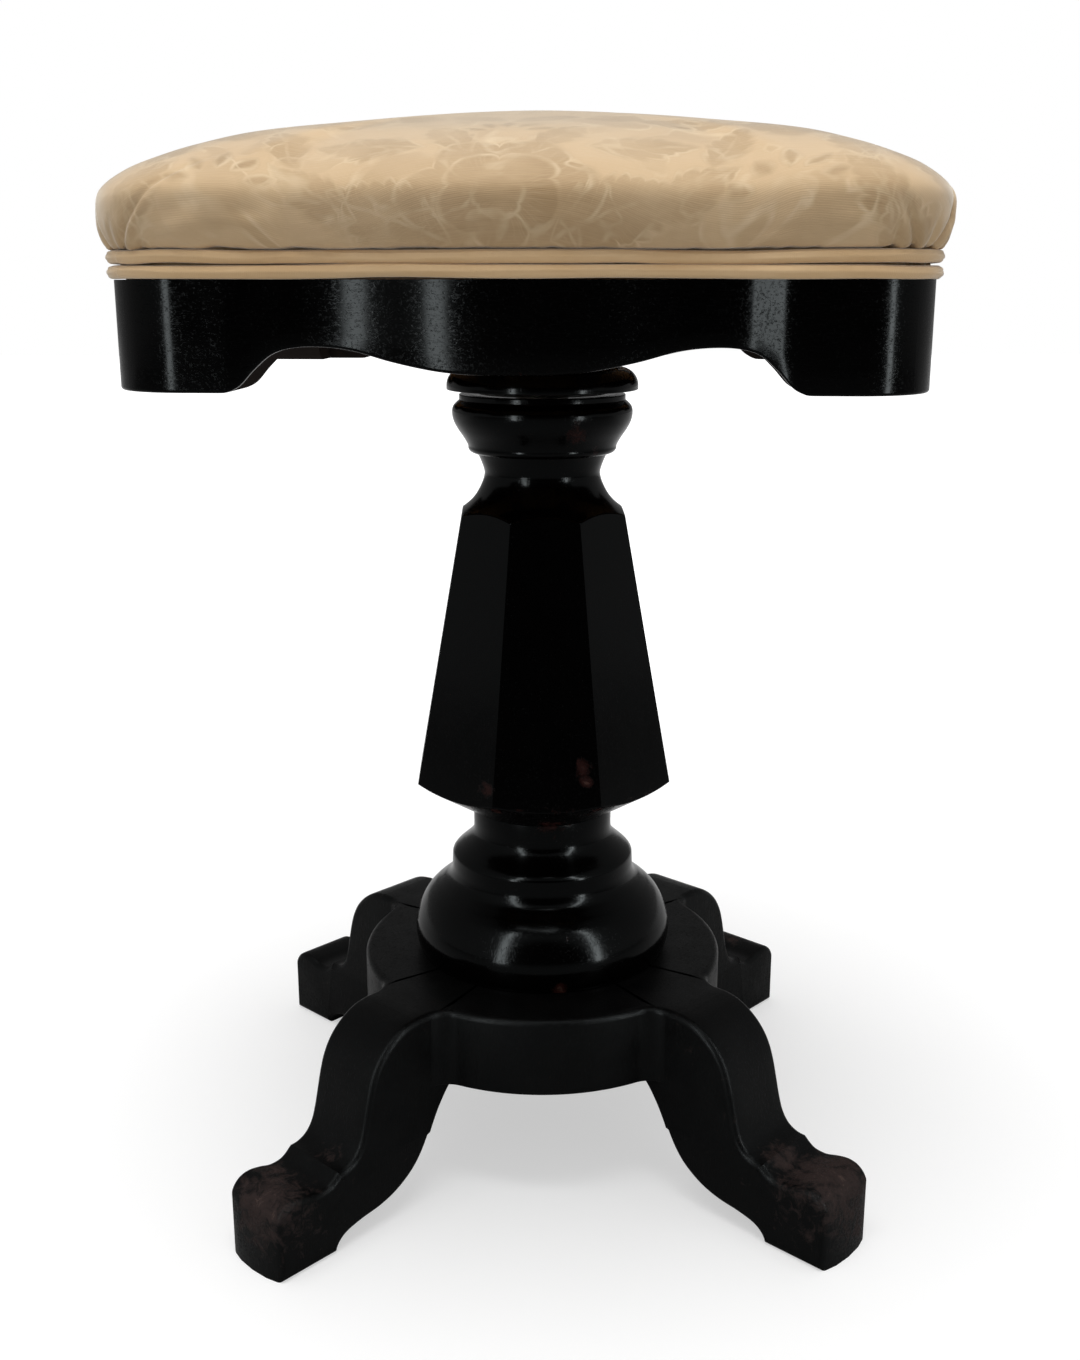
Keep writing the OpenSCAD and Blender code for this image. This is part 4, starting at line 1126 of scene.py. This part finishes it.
profile = np.vstack([
    np.column_stack([housing, np.full(len(housing), PLATFORM_TOP)]),
    smooth_run(BACK, 5) * (reach, PLATFORM_TOP) + (LEG_ROOT, 0),
    smooth_run(FOOT_BACK, 5) * (reach, PLATFORM_TOP) + (LEG_ROOT, 0),
    [(LEG_END, 0), (LEG_ROOT + HEEL * reach, 0)],
    under_line])
print("profile:", len(profile), "points,", len(under_line), "of them under the leg")

# %% [markdown]
# The rounded edge of a leg changes along its profile: full on the back and over the
# foot, smaller under the leg, none under the housing. Inside the housing the leg keeps
# as much of the rounding as the platform's edge has there.

# %% The rounding along the profile
UNDER_EDGE = 2.2
NO_EDGE = 0.01
ABOVE_UNDERSIDE = 5
WALL_MARGIN = 9
ahead = np.roll(profile, -1, 0) - np.roll(profile, 1, 0)
ahead[0] = ahead[1]
inward = np.stack([ahead[:, 1], -ahead[:, 0]], -1) / np.linalg.norm(ahead, axis=1)[:, None]
on_top = profile[:, 1] > PLATFORM_Z + ABOVE_UNDERSIDE
before_under = np.arange(len(profile)) < len(profile) - len(under_line)
edge_reach = np.where(profile[:, 0] < CORNER_REACH + 1, np.where(on_top, TOP_ROUND, NO_EDGE),
                      np.where(before_under, TOP_ROUND, UNDER_EDGE))
by_leg = along_leg > wall_x - WALL_MARGIN
from_outline = np.interp(profile[:, 0], along_leg[by_leg], off_leg[by_leg])
from_outline = np.where(profile[:, 0] < CORNER_REACH, np.maximum(from_outline, 0), 0)
from_outline[0] = NO_LIMIT
print("rounding:", sorted(set(edge_reach.tolist())), "mm")

# %% [markdown]
# The leg's surface is a sheet of points: along the profile in one direction, across
# the leg in the other. Close to each side the profile is drawn inward, which rounds
# the edge and leaves a flat side. The foot's end is rounded in plan too.

# %% The surface of a leg
FOOT_W = 37.5
FOOT_ROUND = 5
# In its housing the leg is a hair wider, so that no gap shows.
HAIR = 0.06
ROUNDED_WEAR = 0.3
FLAT_WEAR = 0.1
half_width = np.interp(profile[:, 0], [CORNER_REACH, LEG_END], [LEG_W / 2 + HAIR, FOOT_W / 2])
offsets = np.concatenate([curve * TOP_ROUND, [LEG_W / 4, LEG_W / 2]])
leg_points = []
leg_edges = []
for mirror, offset in [(-1, o) for o in offsets] + [(1, o) for o in offsets[-2::-1]]:
    fraction = mirror * (1 - offset / (LEG_W / 2))
    drop = rounded(offset + from_outline, edge_reach)
    line = profile + inward * drop[:, None]
    end = LEG_END - FOOT_ROUND * (1 - math.sqrt(max(1 - fraction ** 2, 0)))
    leg_points.append(np.stack([np.minimum(line[:, 0], end), fraction * half_width, line[:, 1]], -1))
    leg_edges.append(np.where(drop > SLIGHT, ROUNDED_WEAR, FLAT_WEAR))
count = len(profile)
leg_faces = grid(len(leg_points), count, False, True)
leg_faces += [list(range(count)), list(range((len(leg_points) - 1) * count, len(leg_points) * count))]
leg_points = np.vstack(leg_points)
leg_edges = np.concatenate(leg_edges)
print("a leg:", len(leg_points), "points,", len(leg_faces), "faces")

# %% [markdown]
# The four legs are one shape, turned to the corners. Shoes have scraped the front
# ones most, so each leg has rubbed places of its own, given along the leg, across it
# and in height.

# %% The scroll legs
# Each leg: its direction, and its rubbed places.
LEG_SPOTS = {
    "leg_front_left": (-135, [(186, 4, 30, 30, 0.66), (172, -8, 38, 16, 0.6), (150, 4, 42, 14, 0.5)]),
    "leg_front_right": (-45, [(182, 0, 32, 34, 0.68), (160, -4, 40, 18, 0.6), (190, 8, 12, 18, 0.6)]),
    "leg_rear_right": (45, [(178, 4, 38, 15, 0.55), (186, 0, 30, 12, 0.45)]),
    "leg_rear_left": (135, [(182, -4, 36, 10, 0.5)]),
}
for name, (turn, places) in LEG_SPOTS.items():
    c, s = math.cos(math.radians(turn)), math.sin(math.radians(turn))
    wear = np.maximum(leg_edges, spots(leg_points, places))
    placed = leg_points @ np.array([[c, s, 0], [-s, c, 0], [0, 0, 1]])
    piece(name + "_scroll", placed, leg_faces, handled_base, "base", "ebonised_wood", [name], wear=wear)

# %% [markdown]
# The seat's outline is drawn once and used for the rails, the cushion and the piping.
# Each side has a bow in its middle, a hollow beside it and a lobe at each corner. A
# free curve could trace it, but would pinch when it is grown. These are arcs that meet
# without a kink, and a ring grown outward keeps their centres and changes the radii.

# %% The seat's outline
SEAT_HALF = 159.5
BOW_PROUD = 6.3
BOW_RADIUS = 127
HOLLOW_RADIUS = 106
HOLLOW_END = 29
SHOULDER = 28
CORNER = 32
BOW_TURN = math.radians(20)
FLANK_TURN = math.radians(22)
SEAT_TURN = math.radians(-6)
RING_STEPS = 132

bow_at = np.array([0, BOW_RADIUS - SEAT_HALF - BOW_PROUD])
hollow_at = bow_at + (BOW_RADIUS + HOLLOW_RADIUS) * np.array([math.sin(BOW_TURN), -math.cos(BOW_TURN)])
hollow_end_at = hollow_at + np.array([0, HOLLOW_RADIUS - HOLLOW_END])
flank_from = hollow_end_at + HOLLOW_END * np.array([math.sin(FLANK_TURN), math.cos(FLANK_TURN)])
flank_long = (flank_from[1] + SEAT_HALF - SHOULDER * (1 - math.cos(FLANK_TURN))) / math.sin(FLANK_TURN)
shoulder_at = np.array([flank_from[0] + flank_long * math.cos(FLANK_TURN) + SHOULDER * math.sin(FLANK_TURN),
                        SHOULDER - SEAT_HALF])
corner_at = np.array([SEAT_HALF - CORNER, CORNER - SEAT_HALF])


def side_path(grow):
    """The front side from its left corner to its right one, evenly stepped."""
    half = np.vstack([
        front_arc(bow_at, BOW_RADIUS + grow, 0, BOW_TURN, 60),
        front_arc(hollow_at, grow - HOLLOW_RADIUS, BOW_TURN, 0, 60)[1:],
        front_arc(hollow_end_at, grow - HOLLOW_END, 0, -FLANK_TURN, 20)[1:],
        front_arc(shoulder_at, SHOULDER + grow, -FLANK_TURN, 0, 20),
        front_arc(corner_at, CORNER + grow, 0, math.pi / 4, 40)])
    run = np.concatenate([[0], np.cumsum(np.linalg.norm(np.diff(half, axis=0), axis=1))])
    even = np.linspace(0, run[-1], RING_STEPS + 1)
    half = np.stack([np.interp(even, run, half[:, 0]), np.interp(even, run, half[:, 1])], -1)
    return np.vstack([half[:0:-1] * (-1, 1), half])


def seat_ring(grow):
    """All four sides as one closed ring."""
    return np.vstack([quarter_turned(side_path(grow)[1:], q) for q in range(4)])


def seat_placed(points):
    """Points turned with the seat, which stands a little askew on its screw."""
    c, s = math.cos(SEAT_TURN), math.sin(SEAT_TURN)
    return np.asarray(points) @ np.array([[c, s, 0], [-s, c, 0], [0, 0, 1]])


print("lobe to lobe:", 2 * SEAT_HALF, "mm, ring of", len(seat_ring(0)), "points")

# %% [markdown]
# Each rail is band-sawn from thick wood: serpentine outside, straight inside, mitred
# at both ends, with an ogee cut-out in its lower edge. The cut-out is a smooth line
# through a few marks: shares of half the rail's length, and of the arch's height.

# %% The cut-out of a rail
low, high = [np.array(c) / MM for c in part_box("apron_front")]
RAIL_Z = low[2]
RAIL_TOP = high[2]
ARCH = 17
CUT = [(0, 0.435), (0.09, 0.44), (0.18, 0.505), (0.29, 0.69), (0.385, 0.915), (0.46, 1), (0.53, 0.985),
       (0.58, 0.85), (0.62, 0.53), (0.655, 0.17), (0.684, 0.025), (0.702, 0)]
cut_line = smooth_run(CUT, 8) * (SEAT_HALF, ARCH)


def cut_height(x):
    """Height of the cut-out above the foot of the lobes."""
    return np.interp(np.abs(x), cut_line[:, 0], cut_line[:, 1], right=0)


print("rail:", round(RAIL_TOP - RAIL_Z, 1), "mm high, cut-out", ARCH, "mm deep")

# %% [markdown]
# Cutting the arch from a solid bar would lose the rounded edge, so a cross-section
# walks along the outline instead, and its foot follows the cut-out. It runs down the
# face, round the lower front edge, which is rounded and worn most in the middle, then
# under the rail and up its inside. The saw's faces get a wear below zero,
# which marks them for the finish without polish.

# %% The cross-section of a rail
RAIL_T = 29.3
RAIL_EDGE = 1.3
EDGE_TO_UNDERSIDE = 1.5
MITRE_FROM = 115
FACE_WEAR = 0.1
EDGE_WEAR = 0.22
MIDDLE_WEAR = 0.16
MIDDLE_REACH = 45
SAWN_WEAR = -1.0
inner = SEAT_HALF - RAIL_T
path = side_path(0)
inside_x = np.interp(np.abs(path[:, 0]), [0, MITRE_FROM, path[-1, 0]], [0, MITRE_FROM, inner])
inside_x = inside_x * np.sign(path[:, 0])
middle = np.exp(-(path[:, 0] / MIDDLE_REACH) ** 2)
rail_rows = []
rail_wear = []
foot = RAIL_Z + cut_height(path[:, 0]) + RAIL_EDGE
for height_share in (1, 0.8, 0.6, 0.4, 0.2):
    rail_rows.append(np.column_stack([path, foot + (RAIL_TOP - foot) * height_share]))
    rail_wear.append(np.full(len(path), FACE_WEAR))
for a in np.radians(np.linspace(0, 90, 6)):
    drawn = side_path(-RAIL_EDGE * (1 - math.cos(a)))
    z = RAIL_Z + cut_height(drawn[:, 0]) + RAIL_EDGE * (1 - math.sin(a))
    rail_rows.append(np.column_stack([drawn, z]))
    rail_wear.append(EDGE_WEAR + MIDDLE_WEAR * middle)
underside = side_path(-RAIL_EDGE - EDGE_TO_UNDERSIDE)
rail_rows.append(np.column_stack([underside, RAIL_Z + cut_height(underside[:, 0])]))
rail_wear.append(np.full(len(path), SAWN_WEAR))
foot = RAIL_Z + cut_height(inside_x)
for height_share in (0, 1):
    z = foot + (RAIL_TOP - foot) * height_share
    rail_rows.append(np.column_stack([inside_x, np.full(len(path), -inner), z]))
    rail_wear.append(np.full(len(path), SAWN_WEAR))
rail_points = np.vstack(rail_rows)
rail_wear = np.concatenate(rail_wear)
print("cross-section:", len(rail_rows), "points, walked over", len(path))

# %% [markdown]
# The four rails are one shape, turned. The front one has a rubbed place of its own.
# Where all corners of a face are marked as sawn, the face takes the matt finish.

# %% The four rails
SAWN = SAWN_WEAR / 2
rows = len(rail_rows)
rail_faces = grid(rows, len(path), True, False)
rail_faces += [[r * len(path) for r in range(rows)], [r * len(path) + len(path) - 1 for r in range(rows)]]
for quarters, name in enumerate(("apron_front", "apron_right", "apron_rear", "apron_left")):
    placed = np.column_stack([quarter_turned(rail_points[:, :2], quarters), rail_points[:, 2]])
    wear = rail_wear
    if name == "apron_front":
        wear = np.maximum(wear, spots(rail_points, [(88, -152, 417, 16, 0.3), (84, -152, 425, 10, 0.3)]))
    rail = piece(name + "_rail", seat_placed(placed), rail_faces, polished_rail, "seat", "ebonised_wood",
                 [name], wear=wear)
    rail.data.materials.append(sawn_wood)
    for face in rail.data.polygons:
        face.material_index = int(max(rail_wear[list(face.vertices)]) < SAWN)

# %% [markdown]
# The cushion is horsehair under calico and silk. It swells just above the piping, is
# drawn in at the corners, and crowns towards the middle. It could be sculpted from a
# block, but rings from the board to the crown keep the measured outline; each ring says
# how far it is grown, how much it is drawn towards the axis and how far it has been
# rounded.

# %% The cushion's form
BOARD_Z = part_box("seat_board")[0].z / MM
CUSHION_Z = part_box("seat_board")[1].z / MM
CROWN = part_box("seat_cover")[1].z / MM
PROUD = 6
REBATE = 2.8
MEAN_R = SEAT_HALF + BOW_PROUD
# Marks from the board to the crown: share of the swell, share of the outline, share
# of the height, share by which the ring is rounded.
RINGS = [(0, 1, -0.12, 0), (0, 1, -0.035, 0), (0.56, 1, -0.012, 0.003), (0.84, 1, 0.055, 0.012),
         (1, 1, 0.17, 0.028), (0.88, 1, 0.33, 0.05),
         (0.3, 0.98, 0.46, 0.08), (0, 0.935, 0.555, 0.13), (0, 0.865, 0.645, 0.21), (0, 0.76, 0.745, 0.32),
         (0, 0.6, 0.838, 0.46), (0, 0.42, 0.915, 0.6), (0, 0.22, 0.972, 0.75), (0, 0.06, 0.995, 0.9)]
RING_GAPS = 6
# A thinner cushion is drawn in fully from a twelfth of its height.
THIN_FROM = 12


def cushion_rings(thinning):
    """Rings of points from the board to the crown, drawn in below the full shape."""
    rings = []
    for swell, keep, rise, soften in smooth_run(RINGS, RING_GAPS):
        ring = seat_ring(swell * (PROUD + REBATE) - REBATE - thinning * min(rise * THIN_FROM, 1) * (rise > 0))
        away = np.linalg.norm(ring, axis=1)[:, None]
        ring = ring * keep * (1 - soften + soften * MEAN_R / away)
        z = CUSHION_Z + rise * (CROWN - CUSHION_Z - thinning)
        rings.append(np.column_stack([ring, np.full(len(ring), z)]))
    return np.array(rings)


rings = cushion_rings(0)
steps_out = np.linalg.norm(np.diff(rings[::-1], axis=0), axis=2)
arc = np.concatenate([np.linalg.norm(rings[-1:, :, :2], axis=2), steps_out]).cumsum(0)[::-1]
way = rings[:, :, :2] / np.linalg.norm(rings[:, :, :2], axis=2)[:, :, None]
cloth = np.concatenate([way * arc[:, :, None], np.zeros_like(arc)[:, :, None]], -1)
print("rings:", rings.shape, "cloth from the crown to the piping:", round(float(arc[0].max())), "mm")

# %% [markdown]
# The hair inside presses the cloth outward while the tacks hold its edge. Blender's
# Cloth does the same with air pressure, and finds by itself how a corner draws in. It
# would be slow on the fine mesh, so it fills a coarser copy of the rings, which starts
# thinner than the real cushion and has its lowest rings pinned.

# %% A trial cushion
THINNING = 3
COARSE_ROUND = 6
COARSE_UP = 2
TACKED_ROWS = 2 * RING_GAPS // COARSE_UP
# The trial's middle stands a hair above its last ring.
TOP_POINT = 0.1


def dome_faces(rows, count):
    """Faces of rings of points, closed by one point above them and one below."""
    last = (rows - 1) * count
    above = [(last + (j + 1) % count, last + j, rows * count) for j in range(count)]
    below = [(j, (j + 1) % count, rows * count + 1) for j in range(count)]
    return grid(rows, count, False, True) + above + below


def trial_cushion(start):
    """A closed cushion from rings of points, its lowest rings in a group of their own."""
    rows, count = start.shape[:2]
    points = np.vstack([start.reshape(-1, 3), [[0, 0, start[-1, 0, 2] + TOP_POINT]],
                        [[0, 0, start[0, 0, 2]]]])
    mesh = bpy.data.meshes.new("stuffing_trial")
    mesh.from_pydata((points * MM).tolist(), [], dome_faces(rows, count))
    face_outward(mesh)
    trial = bpy.data.objects.new("stuffing_trial", mesh)
    scene.collection.objects.link(trial)
    tacked = trial.vertex_groups.new(name="tacked")
    tacked.add(list(range(TACKED_ROWS * count)) + [rows * count + 1], 1.0, "REPLACE")
    return trial


thin = cushion_rings(THINNING)
start = thin[1::COARSE_UP, ::COARSE_ROUND]
print("the trial has", start.shape[0], "rings of", start.shape[1], "points")

# %% [markdown]
# Calico hardly stretches, and the hair behind it keeps it from creasing, so tension is
# about that of cotton and bending is stiffer than bare cloth. Gravity is off, as the
# pressure stands for hair that carries itself. Once the shape is read back, the trial
# is removed, so no simulation stays in the file.

# %% Filling it by pressure
FILL_PRESSURE = 3
FILL_FRAMES = 20
CALICO = {
    "quality": 6, "mass": 0.25, "tension_stiffness": 12, "compression_stiffness": 12, "shear_stiffness": 4,
    "bending_stiffness": 3, "use_pressure": True, "uniform_pressure_force": FILL_PRESSURE,
    "vertex_group_mass": "tacked",
}


def pressed(trial):
    """The points of a trial cushion after the pressure has filled it out."""
    press = trial.modifiers.new("stuffing", "CLOTH")
    for setting, value in CALICO.items():
        setattr(press.settings, setting, value)
    press.settings.effector_weights.gravity = 0
    press.collision_settings.use_collision = False
    press.point_cache.frame_start = 1
    press.point_cache.frame_end = FILL_FRAMES
    for frame_number in range(1, FILL_FRAMES + 1):
        scene.frame_set(frame_number)
    shaped = trial.evaluated_get(bpy.context.evaluated_depsgraph_get())
    after = np.empty(len(shaped.data.vertices) * 3)
    shaped.data.vertices.foreach_get("co", after)
    mesh = trial.data
    bpy.data.objects.remove(trial, do_unlink=True)
    bpy.data.meshes.remove(mesh)
    scene.frame_set(1)
    return after.reshape(-1, 3) / MM


print("pressure", FILL_PRESSURE, "over", FILL_FRAMES, "frames")

# %% [markdown]
# The movement is capped and carried over to the fine rings. Each ring is then put back
# to its measured mean height and reach, so the outline stays the real one, and what
# stays of the filling is its unevenness: corners drawn in, sides full. The fine mesh
# is then free for seams and pleats.

# %% The filled cushion
FILL_CAP = 6
UNEVEN = 0.8


def carried_over(move, full_rows, full_count):
    """Moves of coarse points, read off between them for the fine rings."""
    rows, count = move.shape[:2]
    rounds = np.arange(full_count) / COARSE_ROUND
    left = rounds.astype(int) % count
    share = (rounds - rounds.astype(int))[None, :, None]
    move = move[:, left] * (1 - share) + move[:, (left + 1) % count] * share
    up = np.clip((np.arange(full_rows) - 1) / COARSE_UP, 0, rows - 1)
    low_row = np.minimum(up.astype(int), rows - 2)
    share = (up - low_row)[:, None, None]
    return move[low_row] * (1 - share) + move[low_row + 1] * share


after = pressed(trial_cushion(start))[:start.shape[0] * start.shape[1]].reshape(start.shape)
move = after - start
long = np.linalg.norm(move, axis=2, keepdims=True)
print("the filling moved the cloth by up to", round(float(long.max()), 1), "mm")
move *= np.minimum(1, FILL_CAP / np.maximum(long, 1e-9))
move = thin + carried_over(move, *rings.shape[:2]) - rings
print("each ring's mean move, mm:", np.round(move.mean(1)[::RING_GAPS, 2], 1))
outward = np.sum(move[:, :, :2] * way, axis=2, keepdims=True)
move[:, :, :2] -= way * outward.mean(1, keepdims=True)
move[:, :, 2] -= move[:, :, 2].mean(1, keepdims=True)
print("unevenness left, mm:", np.round(np.abs(move).max(), 1))
rings = rings + UNEVEN * move

# %% [markdown]
# Silk pulled down over a hard edge never lies quite even. Small puckers rise from the
# line of tacks behind the piping. Each is a narrow valley that fades with height, at a
# random place, from a seed, so that they fall the same way each time.

# %% Puckers along the tacks
PUCKERS = 150
rng = np.random.default_rng(7)
base_ring = rings[2 * RING_GAPS]
steps_round = np.linalg.norm(np.diff(np.vstack([base_ring, base_ring[:1]]), axis=0), axis=1)
along = np.concatenate([[0], np.cumsum(steps_round)])[:-1]
whole = steps_round.sum()
above = rings[:, :, 2] - CUSHION_Z


def around_gap(place):
    """Signed distance round the ring from a place."""
    return (along - place + whole / 2) % whole - whole / 2


push = np.zeros(rings.shape[:2])
for _ in range(PUCKERS):
    place = rng.uniform(0, whole)
    width = rng.uniform(1.5, 4)
    tall = rng.uniform(3, 12)
    valley = np.exp(-(around_gap(place) / width) ** 2)
    push -= rng.uniform(0.1, 0.5) * valley[None, :] * np.exp(-(above / tall) ** 2)
print("round the seat:", round(float(whole)), "mm, with", PUCKERS, "puckers")

# %% [markdown]
# At each corner the spare cloth is folded into pleats. They are deeper and longer than
# the puckers, lean to the side and have a soft ridge beside them, where the fold of
# cloth lies double.

# %% Pleats at the corners
PLEAT_DEPTH = 2.4
PLEAT_WIDTH = 1.5
RIDGE_AT = 3.2
RIDGE_WIDTH = 2.4
RIDGE_SHARE = 0.4
# Each pleat: offset from the corner, lean, height it reaches, share of the depth.
PLEATS = ((-7, -0.5, 15, 0.7), (6, 0.75, 24, 1.0), (15, 0.4, 12, 0.45), (-15, -0.3, 9, 0.4),
          (1, 0.1, 9, 0.4))
# How much cloth each corner had to take up: front right, rear right, rear left, front left.
CORNER_PULL = (1.0, 0.7, 0.8, 0.6)
corners = [along[(q * 2 + 2) * RING_STEPS - 1] for q in range(4)]
for corner, pull in zip(corners, CORNER_PULL):
    for offset, lean, tall, depth in PLEATS:
        gap = around_gap(corner + offset)[None, :] - lean * above
        ridge = RIDGE_SHARE * np.exp(-((gap - RIDGE_AT) / RIDGE_WIDTH) ** 2)
        valley = np.exp(-(gap / PLEAT_WIDTH) ** 2) - ridge
        push -= PLEAT_DEPTH * pull * depth * valley * np.exp(-(np.maximum(above, 0) / tall) ** 4)
print("corners at", np.round(corners), "mm along the ring")

# %% [markdown]
# Last, the hair itself has settled into slow swells and hollows. All three are pushed
# into the surface at right angles to it, so that they show in its outline too, which
# a bump map would not give.

# %% The cushion
SWELLS = 30
SWELL_TALL = 15
for _ in range(SWELLS):
    place = rng.uniform(0, whole)
    width = rng.uniform(18, 55)
    bulge = rng.uniform(-0.9, 0.9) * np.exp(-(around_gap(place) / width) ** 2)
    push += bulge[None, :] * np.exp(-((above - rng.uniform(10, 36)) / SWELL_TALL) ** 2)
across_ring = np.roll(rings, -1, 1) - np.roll(rings, 1, 1)
up_ring = np.gradient(rings, axis=0)
normal = np.cross(across_ring, up_ring)
normal /= np.maximum(np.linalg.norm(normal, axis=2), 1e-9)[:, :, None]
rings = rings + normal * push[:, :, None]

points = np.vstack([rings.reshape(-1, 3), [[0, 0, rings[-1, :, 2].mean()]], [[0, 0, rings[0, 0, 2]]]])
flat_cloth = np.vstack([cloth.reshape(-1, 3), [[0, 0, 0]], [[0, 0, 0]]])
cushion = piece("damask_cushion", seat_placed(points), dome_faces(*rings.shape[:2]), damask, "seat",
                "silk_damask", ["seat_cover", "seat_stuffing"], sharp=80, cloth=flat_cloth)

# %% [markdown]
# The double piping hides the tacks. Each cord is cotton in a sleeve of plain silk,
# glued round the edge of the board by hand, so it wanders a little and is never
# perfectly round. The sleeve is pulled lengthwise, which leaves shallow folds that run
# along the cord and drift round it. A curve with a round bevel would give a tube, but
# without folds. The cloth runs along the cord, so the ribs wrap round it.

# %% The double piping
CORD_R = 2.6
CORD_SIDES = 24
CORD_WANDERS = 70
GLUE_GAP = 0.3
CORDS_APART = 0.1
FOLD_WIDTH = 0.2
# Folds of the sleeve: direction round the cord in degrees, how far it drifts, depth.
SLEEVE_FOLDS = ((25, 14, 0.34), (-32, 20, 0.26), (70, 16, 0.2))


def cord_ring(name, node, height, seed):
    """One cord laid round the seat."""
    draw = np.random.default_rng(seed)
    ring = seat_ring(CORD_R + GLUE_GAP - REBATE)
    run = np.concatenate([[0], np.cumsum(np.linalg.norm(np.diff(ring, axis=0), axis=1))])
    wander = np.zeros(len(ring))
    swell = np.zeros(len(ring))
    drift = np.zeros(len(ring))
    for _ in range(CORD_WANDERS):
        place = draw.uniform(0, run[-1])
        width = draw.uniform(5, 40)
        bump = np.exp(-((run - place) / width) ** 2)
        wander += draw.uniform(-0.38, 0.38) * bump
        swell += draw.uniform(-0.14, 0.12) * bump
        drift += draw.uniform(-1, 1) * bump
    ahead = np.roll(ring, -1, 0) - np.roll(ring, 1, 0)
    out = np.stack([ahead[:, 1], -ahead[:, 0]], -1) / np.linalg.norm(ahead, axis=1)[:, None]
    points = []
    flat_cloth = []
    for k in range(CORD_SIDES):
        a = math.tau * k / CORD_SIDES
        size = CORD_R + np.clip(swell, -0.25, 0.1)
        for at, sway, depth in SLEEVE_FOLDS:
            off = (a - np.radians(at + sway * drift) + math.pi) % math.tau - math.pi
            size = size - depth * np.exp(-(off / FOLD_WIDTH) ** 2)
        xy = ring + out * (size * math.cos(a))[:, None]
        z = height + np.clip(wander, -0.65, 0.65) + size * math.sin(a)
        points.append(np.column_stack([xy, z]))
        flat_cloth.append(np.column_stack([np.full(len(run), a * CORD_R), run, np.zeros(len(run))]))
    # Its finish is the plain silk painted lighter, against the shade under the cushion.
    return piece(name, seat_placed(np.vstack(points)), grid(CORD_SIDES, len(ring), True, True), plain_silk_painted_lighter,
                 "seat", "piping_silk", [node], cloth=np.vstack(flat_cloth))


lower_z = BOARD_Z + GLUE_GAP + CORD_R
upper_z = lower_z + 2 * CORD_R + CORDS_APART
cord_ring("lower_piping_cord", "piping_lower", lower_z, 3)
cord_ring("upper_piping_cord", "piping_upper", upper_z, 5)

# %% [markdown]
# The screw is the stool's machine. Its thread was cut on a lathe with a round-nosed
# tool, one turn every 8 mm, and the crests are bright where they run in the nut. A
# screw modifier could sweep it, but then the wear would have to be found again. Here
# the radius at each point depends only on its height and its angle, and so does wear.

# %% The iron screw
low, high = [np.array(c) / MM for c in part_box("screw_spindle")]
LEAD = 8
THREAD_DEPTH = 1.9
THREAD_STEPS = 72
THREAD_RISE = 0.5
FLANK_STEEP = 1.9
ROOT_FLAT = 0.35
RUB_CREST = 0.9
RUB_HEAD = 0.3
THREAD_ENDS = 4
SHANK_STARTS = 3
SCREW_R = high[0]
heights = np.arange(low[2], BOSS_Z - THREAD_ENDS, THREAD_RISE)
around = np.linspace(0, math.tau, THREAD_STEPS, endpoint=False)
phase = (heights[:, None] / LEAD - around[None, :] / math.tau) % 1
ridge = np.clip((0.5 + 0.5 * np.cos(math.tau * phase)) * FLANK_STEEP - ROOT_FLAT, 0, 1)
radius = SCREW_R - THREAD_DEPTH * (1 - ridge)
foot = [(CLOSED, heights[0])]
head = [(SCREW_R, BOSS_Z - SHANK_STARTS), (SCREW_R, high[2]), (CLOSED, high[2])]
screw_rows = [level_ring(r, around, z) for r, z in foot + list(zip(radius, heights)) + head]
rub = np.concatenate([np.zeros(THREAD_STEPS), (ridge ** 3).ravel() * RUB_CREST,
                      np.full(len(head) * THREAD_STEPS, RUB_HEAD)])
piece("threaded_screw", np.vstack(screw_rows), grid(len(screw_rows), THREAD_STEPS, False, True), iron, "seat",
      "iron", ["screw_spindle"], sharp=50, wear=rub)
